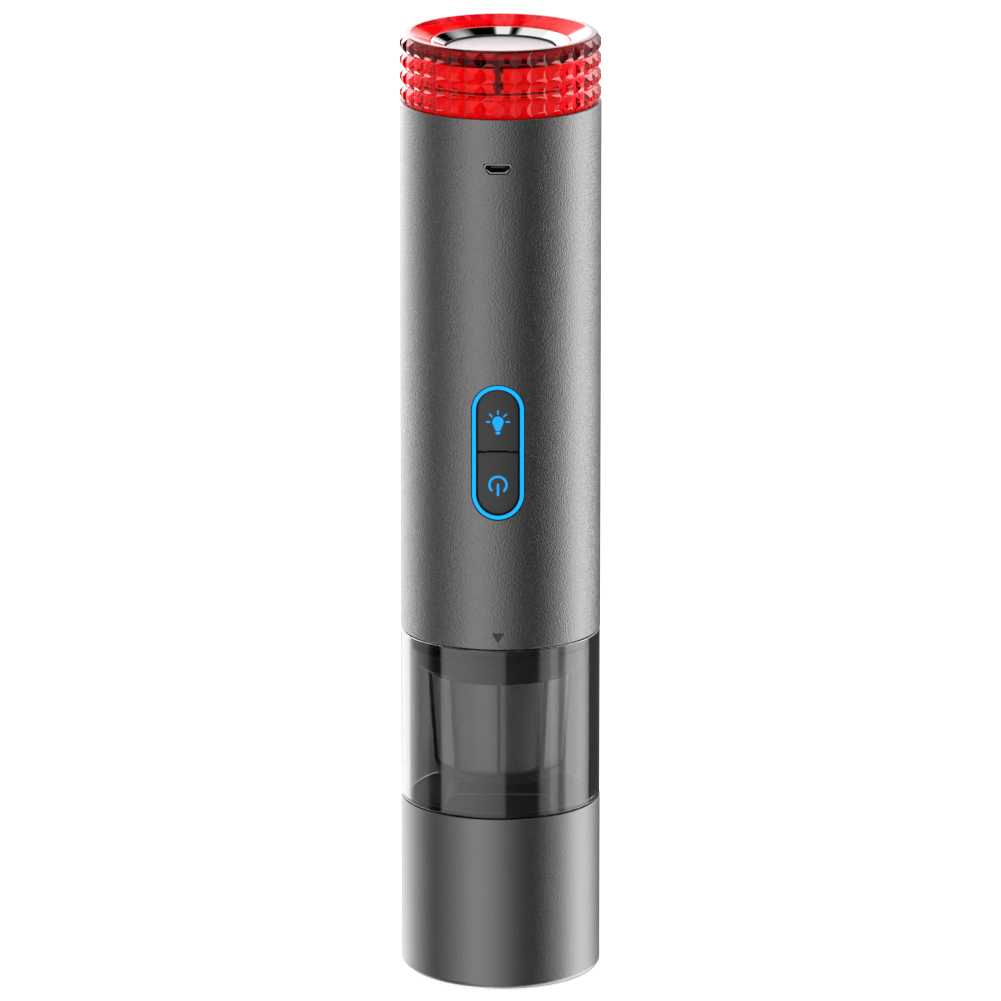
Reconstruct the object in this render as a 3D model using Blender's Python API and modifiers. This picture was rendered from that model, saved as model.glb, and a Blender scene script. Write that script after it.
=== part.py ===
"""Cordless handheld vacuum cleaner with a torch and a red warning light in its head.

It stands upright on its suction mouth. From the bottom up it is a nozzle housing, a clear dust
cup with a tapered filter, a barrel with the fan, motor, cells and switches, and the lamp head.
Every size below is in millimetres and MM turns it into metres as each mesh is made. The front,
with the keys and the charging socket, faces -Y.
"""
import math

import bmesh
import bpy
from mathutils import Matrix, Vector

MM = 0.001
MERGE = 0.00001

# Outside of the stacked shells
BODY_R = 27.5
NOZZLE_TOP = 49.1
CUP_TOP = 97.1
BARREL_TOP = 245.0
TOTAL_HEIGHT = 263.6
SEAM = 0.3
GAP = 0.3
SIDES = 40
INNER_SIDES = 28
CAGE_SIDES = 36
SMALL_SIDES = 20

# Nozzle, intake and flap
NOZZLE_WALL = 1.6
BASE_THICK = 3.0
BASE_ROUND = 2.2
DUCT_Y = -10.5
DUCT_WIDTH = 29.0
DUCT_DEPTH = 13.0
DUCT_WALL = 1.2
LEDGE_Z = 34.3
LEDGE_THICK = 1.2
FLAP_THICK = 1.0
PIN_Y = -6.9
PIN_Z = 37.4
PIN_R = 0.8
SLEEVE_HALF = 10.4
POST_PLACES = ((-18.0, 8.0), (18.0, 8.0), (0.0, 19.0))
POST_R = 3.4
SCREW_RECESS_R = 3.1
SCREW_CLEAR_R = 1.7
SCREW_PILOT_R = 1.6
FLOOR_THICK = 2.4

# Dust cup and its floor
CUP_R = 27.4
CUP_BORE = 25.2
FLOOR_Z = 50.0
HOOD_HEIGHT = 3.8
HOOD_ROUND = 3.4

# Filter
COLLAR_R = 22.8
COLLAR_BORE = 20.9
COLLAR_LOW = 86.4
COLLAR_HIGH = 107.3
FLANGE_R = 24.9
LUG_R = 24.7
LUG_LOW = 104.7
LUG_HIGH = 106.9
LUG_ANGLES = (90.0, 210.0, 330.0)
TWIST = 25.0
CAGE_TOP_R = 20.2
CAGE_FOOT_R = 18.3
CAGE_FOOT = 56.4
CAGE_RING = 2.9
CAGE_WALL = 1.0
RIBS = 9
RIB_WIDTH = 1.0

# Barrel and what shows on its front
BARREL_BORE = 26.0
KEYS_Z = 152.65
SURROUND_WIDTH = 14.4
SURROUND_HEIGHT = 37.7
SURROUND_BAND = 1.2
KEY_RECESS = 1.0
SOCKET_Z = 231.4
SOCKET_WIDTH = 7.3
SOCKET_HEIGHT = 2.5
SOCKET_SHELL = 0.3
EXHAUST_ROWS = (136.0, 152.0)
EXHAUST_ANGLES = (52.5, 67.5, 82.5, 97.5, 112.5, 127.5)

# Fan and motor
FAN_LOW = 112.3
FAN_R = 20.5
BLADES = 9
MOTOR_R = 17.9
MOTOR_LOW = 128.6
MOTOR_HIGH = 160.0
SHAFT_R = 1.5
ARMATURE_SLOTS = 12

# Inner frame, cells and board
FRAME_R = 25.2
FRAME_BORE = 23.7
FRAME_LOW = 128.4
FRAME_HIGH = 240.5
CELL_R = 9.1
CELL_X = 9.4
CELL_Y = 2.0
CELL_LOW = 167.2
CELL_LENGTH = 65.0
BOARD_FRONT = -20.8
BOARD_THICK = 1.6

# Lamp head
RING_BASE_R = 26.5
RING_ROWS = 4
RING_COLUMNS = 36
STUD_INSET = 1.55
STUD_DEPTH = 1.0
RIM_BORE = 24.5
FUNNEL_R = 19.2
FUNNEL_DROP = 2.3
LENS_R = 15.0
LENS_TOP = 259.2
LENS_THICK = 1.5
LAMP_BOARD_Z = 243.8


# ---------------------------------------------------------------- tools of this file

def empty_scene():
    """Remove whatever the scene starts with."""
    for item in list(bpy.data.objects):
        bpy.data.objects.remove(item)


def new_collection(name):
    """Add a collection to the scene."""
    made = bpy.data.collections.new(name)
    bpy.context.scene.collection.children.link(made)
    return made


def paint(name, colour, roughness, metallic=0.0, alpha=1.0):
    """Make one Principled material."""
    made = bpy.data.materials.new(name)
    made.use_nodes = True
    shader = made.node_tree.nodes["Principled BSDF"]
    shader.inputs["Base Color"].default_value = (*colour, 1.0)
    shader.inputs["Roughness"].default_value = roughness
    shader.inputs["Metallic"].default_value = metallic
    shader.inputs["Alpha"].default_value = alpha
    return made


def place(name, mesh, finish, is_cutter=False):
    """Put a mesh in the scene as a part, or as a hidden cutter when is_cutter is set."""
    made = bpy.data.objects.new(name, mesh)
    if is_cutter:
        CUTTERS.objects.link(made)
        made.hide_render = True
        made.display_type = "WIRE"
    else:
        PARTS.objects.link(made)
        mesh.materials.append(finish)
    return made


def turned(name, profile, finish, sides=SIDES, is_cutter=False):
    """Turn (radius, height) points about Z. A profile off the axis is closed into a loop."""
    mesh = bpy.data.meshes.new(name)
    points = [(radius * MM, 0.0, height * MM) for radius, height in profile]
    edges = [(index, index + 1) for index in range(len(points) - 1)]
    touches_axis = profile[0][0] == 0.0 and profile[-1][0] == 0.0
    if not touches_axis:
        edges.append((len(points) - 1, 0))
    mesh.from_pydata(points, edges, [])
    made = place(name, mesh, finish, is_cutter)
    screw = made.modifiers.new("turn", "SCREW")
    screw.steps = sides
    screw.render_steps = sides
    screw.use_merge_vertices = True
    screw.merge_threshold = MERGE
    screw.use_smooth_shade = False
    return made


def block(name, low, high, finish, is_cutter=False):
    """A box between two corners."""
    mesh = bpy.data.meshes.new(name)
    size = [(b - a) * MM for a, b in zip(low, high)]
    centre = [(a + b) / 2 * MM for a, b in zip(low, high)]
    grid = bmesh.new()
    stretch = Matrix.Diagonal((*size, 1.0))
    bmesh.ops.create_cube(grid, size=1.0, matrix=Matrix.Translation(centre) @ stretch)
    grid.to_mesh(mesh)
    grid.free()
    return place(name, mesh, finish, is_cutter)


def rod(name, radius, start, end, finish, sides=SMALL_SIDES, is_cutter=False):
    """A round bar between two points."""
    first, last = Vector(start) * MM, Vector(end) * MM
    along = last - first
    turn = along.to_track_quat("Z", "Y").to_matrix().to_4x4()
    mesh = bpy.data.meshes.new(name)
    grid = bmesh.new()
    bmesh.ops.create_cone(grid, cap_ends=True, segments=sides, radius1=radius * MM, radius2=radius * MM,
                          depth=along.length, matrix=Matrix.Translation((first + last) / 2) @ turn)
    grid.to_mesh(mesh)
    grid.free()
    return place(name, mesh, finish, is_cutter)


def arc(centre_x, centre_y, radius, start, end, steps):
    """Points along an arc, angles in degrees."""
    turns = [math.radians(start + (end - start) * step / steps) for step in range(steps + 1)]
    return [(centre_x + radius * math.cos(turn), centre_y + radius * math.sin(turn)) for turn in turns]


def rounded_rectangle(width, height, radius, centre=(0.0, 0.0), steps=6):
    """Outline of a rectangle with round corners; the radius of half its width makes a stadium."""
    reach_x, reach_y = width / 2 - radius, height / 2 - radius
    corners = ((reach_x, reach_y, 0), (-reach_x, reach_y, 90), (-reach_x, -reach_y, 180),
               (reach_x, -reach_y, 270))
    points = []
    for offset_x, offset_y, start in corners:
        for point in arc(centre[0] + offset_x, centre[1] + offset_y, radius, start, start + 90, steps):
            if not points or math.dist(point, points[-1]) > 0.001:
                points.append(point)
    if math.dist(points[0], points[-1]) < 0.001:
        points.pop()
    return points


def sector(inner, outer, middle, spread, steps=6):
    """Outline of a piece of a ring, spread degrees wide about the middle angle."""
    low, high = middle - spread / 2, middle + spread / 2
    return arc(0, 0, outer, low, high, steps) + arc(0, 0, inner, high, low, steps)


def prism(name, outlines, low, high, finish, upright=True, is_cutter=False):
    """Extrude flat outlines: along Z from low to high, or along Y when upright is False.

    An outline inside another one is a hole. The filled curve is made a mesh, so that it can be cut.
    """
    curve = bpy.data.curves.new(name, "CURVE")
    curve.dimensions = "2D"
    curve.fill_mode = "BOTH"
    curve.extrude = (high - low) / 2 * MM
    for outline in outlines:
        spline = curve.splines.new("POLY")
        spline.points.add(len(outline) - 1)
        for point, (across, up) in zip(spline.points, outline):
            point.co = (across * MM, up * MM, 0.0, 1.0)
        spline.use_cyclic_u = True
    guide = bpy.data.objects.new(name + "_outline", curve)
    CUTTERS.objects.link(guide)
    if upright:
        guide.matrix_world = Matrix.Translation((0.0, 0.0, (low + high) / 2 * MM))
    else:
        stand_up = Matrix.Rotation(math.pi / 2, 4, "X")
        guide.matrix_world = Matrix.Translation((0.0, (low + high) / 2 * MM, 0.0)) @ stand_up
    bpy.context.view_layer.update()
    seen = guide.evaluated_get(bpy.context.evaluated_depsgraph_get())
    mesh = bpy.data.meshes.new_from_object(seen)
    mesh.name = name
    grid = bmesh.new()
    grid.from_mesh(mesh)
    bmesh.ops.remove_doubles(grid, verts=grid.verts, dist=MERGE / 10)
    grid.to_mesh(mesh)
    grid.free()
    mesh.materials.clear()
    made = place(name, mesh, finish, is_cutter)
    made.matrix_world = guide.matrix_world.copy()
    bpy.data.objects.remove(guide)
    bpy.data.curves.remove(curve)
    return made


def wire(name, route, radius, finish):
    """An insulated lead along a smooth curve through the route's points."""
    points = []
    steps = 3
    padded = [route[0], *route, route[-1]]
    for before, start, end, after in zip(padded, padded[1:], padded[2:], padded[3:]):
        for step in range(steps):
            share = step / steps
            points.append(smooth_point(before, start, end, after, share))
    points.append(Vector(route[-1]))
    curve = bpy.data.curves.new(name, "CURVE")
    curve.dimensions = "3D"
    curve.bevel_depth = radius * MM
    curve.bevel_resolution = 2
    curve.use_fill_caps = True
    spline = curve.splines.new("POLY")
    spline.points.add(len(points) - 1)
    for target, point in zip(spline.points, points):
        target.co = (*(point * MM), 1.0)
    made = bpy.data.objects.new(name, curve)
    curve.materials.append(finish)
    PARTS.objects.link(made)
    return made


def smooth_point(before, start, end, after, share):
    """A point on the Catmull-Rom curve between start and end."""
    p0, p1, p2, p3 = (Vector(point) for point in (before, start, end, after))
    linear = p2 - p0
    square = 2 * p0 - 5 * p1 + 4 * p2 - p3
    cubic = 3 * p1 - 3 * p2 + p3 - p0
    return (2 * p1 + linear * share + square * share ** 2 + cubic * share ** 3) / 2


def combine(part, operation, tools):
    """Add one exact Boolean for each tool."""
    for tool in tools:
        boolean = part.modifiers.new(tool.name, "BOOLEAN")
        boolean.operation = operation
        boolean.object = tool
        boolean.solver = "EXACT"
    return part


def cut(part, *tools):
    """Take the tools away from the part."""
    return combine(part, "DIFFERENCE", tools)


def join(part, *tools):
    """Weld the tools on to the part."""
    return combine(part, "UNION", tools)


def keep_inside(part, tool):
    """Keep only what lies inside the tool."""
    return combine(part, "INTERSECT", (tool,))


def screw_part(name, place_x, place_y, head_low, head_high, tip, head_r, shank_r):
    """A screw on a line along Z: a round head and a plain shank that ends at the tip."""
    if head_low < tip:
        profile = [(0.0, tip), (shank_r, tip), (shank_r, head_high), (head_r, head_high), (head_r, head_low),
                   (0.0, head_low)]
    else:
        profile = [(0.0, head_high), (head_r, head_high), (head_r, head_low), (shank_r, head_low),
                   (shank_r, tip), (0.0, tip)]
    made = turned(name, profile, STEEL, sides=14)
    made.location = (place_x * MM, place_y * MM, 0.0)
    return made


# ---------------------------------------------------------------- nozzle, intake, cup

def nozzle_housing():
    """Outer shell of the suction head: wall, bottom plate, mouth and screw recesses."""
    wall_r = BODY_R - NOZZLE_WALL
    top = NOZZLE_TOP - SEAM / 2
    edge = arc(BODY_R - BASE_ROUND, BASE_ROUND, BASE_ROUND, 0, -90, 3)
    profile = [(0.0, BASE_THICK), (wall_r, BASE_THICK), (wall_r, top), (BODY_R, top), *edge, (0.0, 0.0)]
    housing = turned("nozzle_housing", profile, ALLOY)
    inner = rounded_rectangle(DUCT_WIDTH - 2 * DUCT_WALL, DUCT_DEPTH - 2 * DUCT_WALL, 3.0, (0.0, DUCT_Y))
    mouth = prism("cut_mouth", [inner], -2.0, BASE_THICK + 2.0, None, is_cutter=True)
    tools = [mouth]
    for number, (across, along) in enumerate(POST_PLACES, 1):
        tools.append(rod(f"cut_recess_{number}", SCREW_RECESS_R, (across, along, -1), (across, along, 1.9), None,
                         is_cutter=True))
        tools.append(rod(f"cut_clear_{number}", SCREW_CLEAR_R, (across, along, 1), (across, along, 5), None,
                         is_cutter=True))
    cut(housing, *tools)
    for number, (across, along) in enumerate(POST_PLACES, 1):
        screw_part(f"nozzle_screw_{number}", across, along, 0.3, 1.6, 14.0, 2.7, 1.3)


def intake():
    """The duct from the mouth to the cup, with its ledge, flap and flap pin."""
    floor_under = FLOOR_Z - FLOOR_THICK
    outer = rounded_rectangle(DUCT_WIDTH, DUCT_DEPTH, 4.2, (0.0, DUCT_Y))
    inner = rounded_rectangle(DUCT_WIDTH - 2 * DUCT_WALL, DUCT_DEPTH - 2 * DUCT_WALL, 3.0, (0.0, DUCT_Y))
    neck = rounded_rectangle(DUCT_WIDTH - 4 * DUCT_WALL, DUCT_DEPTH - 4 * DUCT_WALL, 1.8, (0.0, DUCT_Y))
    duct = prism("intake_duct", [outer], BASE_THICK + GAP, floor_under - GAP, BLACK_PLASTIC)
    lower = prism("cut_duct_lower", [inner], 0.0, LEDGE_Z, None, is_cutter=True)
    upper = prism("cut_duct_upper", [inner], LEDGE_Z + LEDGE_THICK, 60.0, None, is_cutter=True)
    throat = prism("cut_duct_throat", [neck], 1.0, 59.0, None, is_cutter=True)
    half_width = DUCT_WIDTH / 2
    pin_hole = rod("cut_pin_hole", PIN_R + GAP, (-half_width - 2, PIN_Y, PIN_Z), (half_width + 2, PIN_Y, PIN_Z),
                   None, is_cutter=True)
    cut(duct, lower, upper, throat, pin_hole)
    rod("flap_pin", PIN_R, (-half_width, PIN_Y, PIN_Z), (half_width, PIN_Y, PIN_Z), STEEL, sides=16)

    flap_low = LEDGE_Z + LEDGE_THICK + GAP
    reach = half_width - DUCT_WALL - GAP
    plate = rounded_rectangle(2 * reach, 8.4, 2.4, (0.0, DUCT_Y - 0.8))
    flap = prism("intake_flap", [plate], flap_low, flap_low + FLAP_THICK, RUBBER)
    sleeve = rod("join_flap_sleeve", 1.5, (-SLEEVE_HALF, PIN_Y, PIN_Z), (SLEEVE_HALF, PIN_Y, PIN_Z), None,
                 sides=16, is_cutter=True)
    sleeve_hole = rod("cut_flap_sleeve", PIN_R + GAP, (-reach - 2, PIN_Y, PIN_Z), (reach + 2, PIN_Y, PIN_Z), None,
                      sides=16, is_cutter=True)
    join(flap, sleeve)
    cut(flap, sleeve_hole)


def cup_floor():
    """Black floor of the dust cup: disc, skirt, screw posts and the raised hood of the intake."""
    under = FLOOR_Z - FLOOR_THICK
    lip_r = BODY_R - NOZZLE_WALL - GAP
    lip_top = NOZZLE_TOP - 0.7
    profile = [(0.0, FLOOR_Z), (CUP_BORE - GAP, FLOOR_Z), (CUP_BORE - GAP, lip_top), (lip_r, lip_top),
               (lip_r, 45.6), (lip_r - 1.6, 45.6), (lip_r - 1.6, under), (0.0, under)]
    plate = turned("floor_plate", profile, BLACK_PLASTIC)
    half = DUCT_WIDTH / 2
    top = FLOOR_Z + HOOD_HEIGHT
    hood_outline = [(-half, FLOOR_Z - 1.0), (half, FLOOR_Z - 1.0),
                    *arc(half - HOOD_ROUND, top - HOOD_ROUND, HOOD_ROUND, 0, 90, 5),
                    *arc(-half + HOOD_ROUND, top - HOOD_ROUND, HOOD_ROUND, 90, 180, 5)]
    front = DUCT_Y - DUCT_DEPTH / 2 - 0.5
    hood = prism("join_hood", [hood_outline], front, front + DUCT_DEPTH + 1.0, None, upright=False, is_cutter=True)
    join(plate, hood)
    posts = [rod(f"join_post_{number}", POST_R, (across, along, BASE_THICK + GAP), (across, along, under + 1),
                 None, is_cutter=True) for number, (across, along) in enumerate(POST_PLACES, 1)]
    join(plate, *posts)
    inner = rounded_rectangle(DUCT_WIDTH - 5.0, DUCT_DEPTH - 2 * DUCT_WALL, 3.0, (0.0, DUCT_Y))
    opening = prism("cut_floor_opening", [inner], 40.0, 60.0, None, is_cutter=True)
    pilots = [rod(f"cut_pilot_{number}", SCREW_PILOT_R, (across, along, 0), (across, along, 16), None, is_cutter=True)
              for number, (across, along) in enumerate(POST_PLACES, 1)]
    cut(plate, opening, *pilots)


def dust_cup():
    """Smoked clear tube between the nozzle and the barrel."""
    low, high = NOZZLE_TOP + SEAM / 2, CUP_TOP - SEAM / 2
    ease = 0.35
    profile = [(CUP_R - ease, high), (CUP_R, high - ease), (CUP_R, low + ease), (CUP_R - ease, low),
               (CUP_BORE, low), (CUP_BORE, high)]
    turned("dust_cup", profile, SMOKED)


# ---------------------------------------------------------------- filter

def filter_collar():
    """Collar that holds the filter: flange, seal groove, grip lug and three bayonet lugs."""
    foot = arc(COLLAR_R - 1.5, COLLAR_LOW + 1.5, 1.5, 0, -90, 3)
    groove_r = 23.4
    profile = [(COLLAR_R, COLLAR_HIGH), (COLLAR_R, 99.0), (FLANGE_R, 99.0), (FLANGE_R, 95.0), (groove_r, 95.0),
               (groove_r, 93.2), (FLANGE_R - 0.2, 93.2), (FLANGE_R - 0.2, 92.4), (COLLAR_R, 92.4), *foot,
               (COLLAR_BORE, COLLAR_LOW), (COLLAR_BORE, COLLAR_HIGH)]
    collar = turned("filter_collar", profile, DARK_PLASTIC, sides=INNER_SIDES)
    lugs = [sector(COLLAR_R - 0.6, LUG_R, angle, 16.0, 4) for angle in LUG_ANGLES]
    bayonet = prism("join_lugs", lugs, LUG_LOW, LUG_HIGH, None, is_cutter=True)
    grip = prism("join_grip", [sector(COLLAR_R - 0.6, COLLAR_R + 0.5, 270.0, 26.0, 6)], 88.9, 91.6, None,
                 is_cutter=True)
    join(collar, bayonet, grip)


def cup_seal():
    """O-ring in the collar's groove; it grips the bore of the cup."""
    turned("cup_seal", arc(24.25, 94.1, 0.7, 90, -225, 7), RUBBER, sides=INNER_SIDES)


def filter_cage():
    """Tapered cage with nine ribs, a bottom ring and a closed bottom."""
    ring_top = CAGE_FOOT + CAGE_RING
    foot_bore = CAGE_FOOT_R - CAGE_WALL
    profile = [(0.0, CAGE_FOOT + 1.2), (foot_bore - 0.1, CAGE_FOOT + 1.2), (foot_bore, ring_top),
               (CAGE_TOP_R - CAGE_WALL, COLLAR_LOW - 0.2), (CAGE_TOP_R - 0.6, 92.0), (COLLAR_BORE - GAP, 92.0),
               (CAGE_TOP_R, COLLAR_LOW - 0.2), (CAGE_FOOT_R, ring_top), (CAGE_FOOT_R, CAGE_FOOT), (0.0, CAGE_FOOT)]
    cage = turned("filter_cage", profile, DARK_PLASTIC, sides=CAGE_SIDES)
    pitch = 360.0 / RIBS
    rib_spread = math.degrees(RIB_WIDTH / ((CAGE_TOP_R + CAGE_FOOT_R) / 2))
    windows = [sector(14.0, 23.0, 270.0 + pitch * (number + 0.5), pitch - rib_spread, 4) for number in range(RIBS)]
    cut(cage, prism("cut_windows", windows, ring_top + 0.2, COLLAR_LOW - 1.2, None, is_cutter=True))


def filter_mesh():
    """Wire cloth cone inside the cage, as one thin wall."""
    foot_r = CAGE_FOOT_R - CAGE_WALL - GAP
    top_r = CAGE_TOP_R - CAGE_WALL - GAP
    low, high, thick = CAGE_FOOT + CAGE_RING - 0.8, COLLAR_LOW - 0.3, 0.4
    turned("filter_mesh", [(top_r, high), (foot_r, low), (foot_r - thick, low), (top_r - thick, high)], STEEL,
           sides=CAGE_SIDES)


def pleated_filter():
    """Fine filter inside the mesh: a ring of folded paper."""
    folds = 24
    rings = []
    for outer, inner in ((15.6, 12.4), (14.8, 11.6)):
        ring = []
        for number in range(2 * folds):
            turn = math.pi * number / folds
            radius = outer if number % 2 == 0 else inner
            ring.append((radius * math.cos(turn), radius * math.sin(turn)))
        rings.append(ring)
    prism("pleated_filter", rings, CAGE_FOOT + 1.6, 90.0, PAPER)


# ---------------------------------------------------------------- barrel and its front

def socket_outline(width, height, slant):
    """Outline of the charging socket: flat top, short upright sides, slanted lower corners."""
    half, rise = width / 2, height / 2
    return [(-half, SOCKET_Z + rise), (-half, SOCKET_Z + rise - 0.9), (-half + slant, SOCKET_Z - rise),
            (half - slant, SOCKET_Z - rise), (half, SOCKET_Z + rise - 0.9), (half, SOCKET_Z + rise)][::-1]


def stadium(width, height, centre_z=KEYS_Z):
    """Upright stadium outline on the front of the barrel."""
    return rounded_rectangle(width, height, width / 2, (0.0, centre_z), 8)


def barrel():
    """Main sleeve with the key opening, the socket opening and the exhaust slots at the back."""
    low, high = CUP_TOP + SEAM / 2, BARREL_TOP - SEAM / 2
    ease = 0.3
    profile = [(BODY_R - ease, high), (BODY_R, high - ease), (BODY_R, low + ease), (BODY_R - ease, low),
               (BARREL_BORE, low), (BARREL_BORE, high)]
    sleeve = turned("barrel", profile, ALLOY)
    key_hole = prism("cut_key_hole", [stadium(SURROUND_WIDTH + 2 * GAP, SURROUND_HEIGHT + 2 * GAP)], -32.0, -20.0,
                     None, upright=False, is_cutter=True)
    port = prism("cut_port", [socket_outline(SOCKET_WIDTH + 0.5, SOCKET_HEIGHT + 0.5, 1.4)], -32.0, -20.0, None,
                 upright=False, is_cutter=True)
    tools = [key_hole, port]
    for row, height in enumerate(EXHAUST_ROWS):
        for column, angle in enumerate(EXHAUST_ANGLES):
            slot = prism(f"cut_slot_{row}_{column}", [rounded_rectangle(2.2, 12.0, 1.1, (0.0, height), 2)], -32.0,
                         -20.0, None, upright=False, is_cutter=True)
            slot.matrix_world = Matrix.Rotation(math.radians(angle + 90.0), 4, "Z") @ slot.matrix_world
            tools.append(slot)
    cut(sleeve, *tools)


def keys():
    """Light guide around the keys, the tray behind them and the two keys with their stems."""
    band = prism("key_surround", [stadium(SURROUND_WIDTH, SURROUND_HEIGHT),
                                  stadium(SURROUND_WIDTH - 2 * SURROUND_BAND, SURROUND_HEIGHT - 2 * SURROUND_BAND)],
                 -29.0, -24.4, BLUE, upright=False)
    keep_inside(band, rod("keep_surround", BODY_R - 0.02, (0, 0, 120), (0, 0, 190), None, 96, is_cutter=True))

    stems = ((KEYS_Z + 8.7, "light"), (KEYS_Z - 8.7, "power"))
    tray = prism("key_tray", [stadium(SURROUND_WIDTH + 1.0, SURROUND_HEIGHT + 1.0)], -24.0, -22.7, BLACK_PLASTIC,
                 upright=False)
    cut(tray, *[rod(f"cut_tray_{name}", 2.2, (0, -26, height), (0, -20, height), None, is_cutter=True)
                for height, name in stems])

    width = SURROUND_WIDTH - 2 * SURROUND_BAND - 2 * 0.25
    length = SURROUND_HEIGHT - 2 * SURROUND_BAND - 2 * 0.25
    back = -24.9
    for (height, name), side in zip(stems, (1, -1)):
        key = prism(f"{name}_key", [stadium(width, length)], -29.0, back, KEY_BLACK, upright=False)
        keep_inside(key, rod(f"keep_{name}_key", BODY_R - KEY_RECESS, (0, 0, 120), (0, 0, 190), None, 96,
                             is_cutter=True))
        split = sorted((KEYS_Z + side * 0.15, KEYS_Z - side * 30.0))
        other_half = block(f"cut_{name}_half", (-12, -32, split[0]), (12, -20, split[1]), None, is_cutter=True)
        cut(key, other_half)
        join(key, rod(f"join_{name}_stem", 1.6, (0, back - 0.5, height), (0, back + 1.2, height), None, 20,
                      is_cutter=True))


def socket():
    """Metal shell of the charging socket and the tongue in it."""
    front, back = -27.0, BOARD_FRONT - GAP
    outer = socket_outline(SOCKET_WIDTH, SOCKET_HEIGHT, 1.25)
    inner = socket_outline(SOCKET_WIDTH - 2 * SOCKET_SHELL, SOCKET_HEIGHT - 2 * SOCKET_SHELL, 1.15)
    shell = prism("socket_shell", [outer], front, back, STEEL, upright=False)
    cut(shell, prism("cut_socket", [inner], front - 1.0, back - 0.6, None, upright=False, is_cutter=True))
    block("socket_tongue", (-1.9, front + 1.0, SOCKET_Z + 0.05), (1.9, back - 0.9, SOCKET_Z + 0.6), BLACK_PLASTIC)


# ---------------------------------------------------------------- fan and motor

def bayonet_socket():
    """Ring in the barrel's foot that the collar's lugs turn in."""
    low, high = 99.6, FAN_LOW - GAP
    bore = COLLAR_R + GAP
    ring = turned("bayonet_socket", [(25.7, high), (25.7, low), (bore, low), (bore, high)], BLACK_PLASTIC,
                  sides=INNER_SIDES)
    reach = LUG_R + GAP
    groove = turned("cut_groove", [(reach, LUG_HIGH + GAP), (reach, LUG_LOW - GAP), (bore - 1, LUG_LOW - GAP),
                                   (bore - 1, LUG_HIGH + GAP)], None, INNER_SIDES, is_cutter=True)
    entries = [sector(bore - 1.0, reach, angle - TWIST, 20.0, 4) for angle in LUG_ANGLES]
    cut(ring, groove, prism("cut_entries", entries, low - 1.0, LUG_HIGH, None, is_cutter=True))


def fan():
    """Shroud with its inlet, impeller with curved blades and the diffuser plate above it."""
    plate_top = FAN_LOW + 2.0
    turned("fan_shroud", [(25.6, 126.0), (25.6, FAN_LOW), (10.0, FAN_LOW), (10.0, plate_top), (24.4, plate_top),
                          (24.4, 126.0)], DARK_PLASTIC, INNER_SIDES)
    wheel = turned("impeller", [(SHAFT_R + GAP, 124.2), (FAN_R, 124.2), (FAN_R, 123.0), (5.0, 123.0), (4.2, 115.4),
                                (SHAFT_R + GAP, 115.4)], FAN_PLASTIC, sides=32)
    outlines = []
    inner_r, outer_r, thick, steps = 4.0, FAN_R - 0.4, 0.9, 4
    for number in range(BLADES):
        first, second = [], []
        for step in range(steps + 1):
            share = step / steps
            radius = inner_r + (outer_r - inner_r) * share
            turn = math.radians(360.0 * number / BLADES) + 0.95 * share ** 0.8
            half = thick / 2 / radius
            first.append((radius * math.cos(turn - half), radius * math.sin(turn - half)))
            second.append((radius * math.cos(turn + half), radius * math.sin(turn + half)))
        outlines.append(first + second[::-1])
    join(wheel, prism("join_blades", outlines, 115.8, 123.4, None, is_cutter=True))

    diffuser = turned("diffuser", [(25.4, 128.1), (25.4, 126.3), (6.4, 126.3), (6.4, 128.1)], DARK_PLASTIC,
                      INNER_SIDES)
    slots = [sector(19.6, 23.4, 45.0 * number, 33.0, 3) for number in range(8)]
    cut(diffuser, prism("cut_diffuser", slots, 124.0, 130.0, None, is_cutter=True))


def bearing(name, low, high):
    """A ball bearing as one ring, clear of the shaft."""
    turned(name, [(4.5, high), (4.5, low), (SHAFT_R + GAP, low), (SHAFT_R + GAP, high)], STEEL, SMALL_SIDES)


def motor():
    """Can with magnets, end cap, bearings, armature on its shaft and the rubber mount."""
    nose_r, seat_r = 6.0, 4.8
    turned("motor_can", [(MOTOR_R, MOTOR_HIGH), (MOTOR_R, MOTOR_LOW), (nose_r, MOTOR_LOW), (nose_r, 126.6),
                         (seat_r, 126.6), (seat_r, MOTOR_LOW + 1.2), (MOTOR_R - 1.0, MOTOR_LOW + 1.2),
                         (MOTOR_R - 1.0, MOTOR_HIGH)], STEEL, sides=INNER_SIDES)
    cap_low = MOTOR_HIGH + GAP
    turned("motor_end_cap", [(MOTOR_R, 162.8), (MOTOR_R, cap_low), (MOTOR_R - 1.3, cap_low), (MOTOR_R - 1.3, 158.6),
                             (seat_r, 158.6), (seat_r, 162.8)], DARK_PLASTIC, sides=INNER_SIDES)
    bearing("bearing_lower", 126.9, 129.5)
    bearing("bearing_upper", 159.4, 162.4)
    for name, middle in (("magnet_right", 0.0), ("magnet_left", 180.0)):
        prism(name, [sector(14.0, MOTOR_R - 1.3, middle, 130.0, 12)], 132.0, 156.0, FERRITE)
    teeth = []
    for number in range(ARMATURE_SLOTS):
        middle = 360.0 * number / ARMATURE_SLOTS
        teeth += arc(0, 0, 13.4, middle - 11.0, middle + 11.0, 3)
        teeth += arc(0, 0, 10.0, middle + 13.0, middle + 17.0, 1)
    bore = arc(0, 0, SHAFT_R + GAP, 0, 345, 23)
    prism("armature", [teeth, bore], 133.0, 155.0, COPPER)
    rod("motor_shaft", SHAFT_R, (0, 0, 115.0), (0, 0, 164.0), STEEL, sides=20)
    mount = turned("motor_mount", [(23.4, 132.8), (23.4, 129.0), (MOTOR_R + GAP, 129.0), (MOTOR_R + GAP, 132.8)],
                   RUBBER, sides=INNER_SIDES)
    ports = [sector(19.6, 22.2, 60.0 * number, 40.0, 3) for number in range(6)]
    cut(mount, prism("cut_mount", ports, 127.0, 136.0, None, is_cutter=True))


# ---------------------------------------------------------------- frame, cells, board

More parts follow.
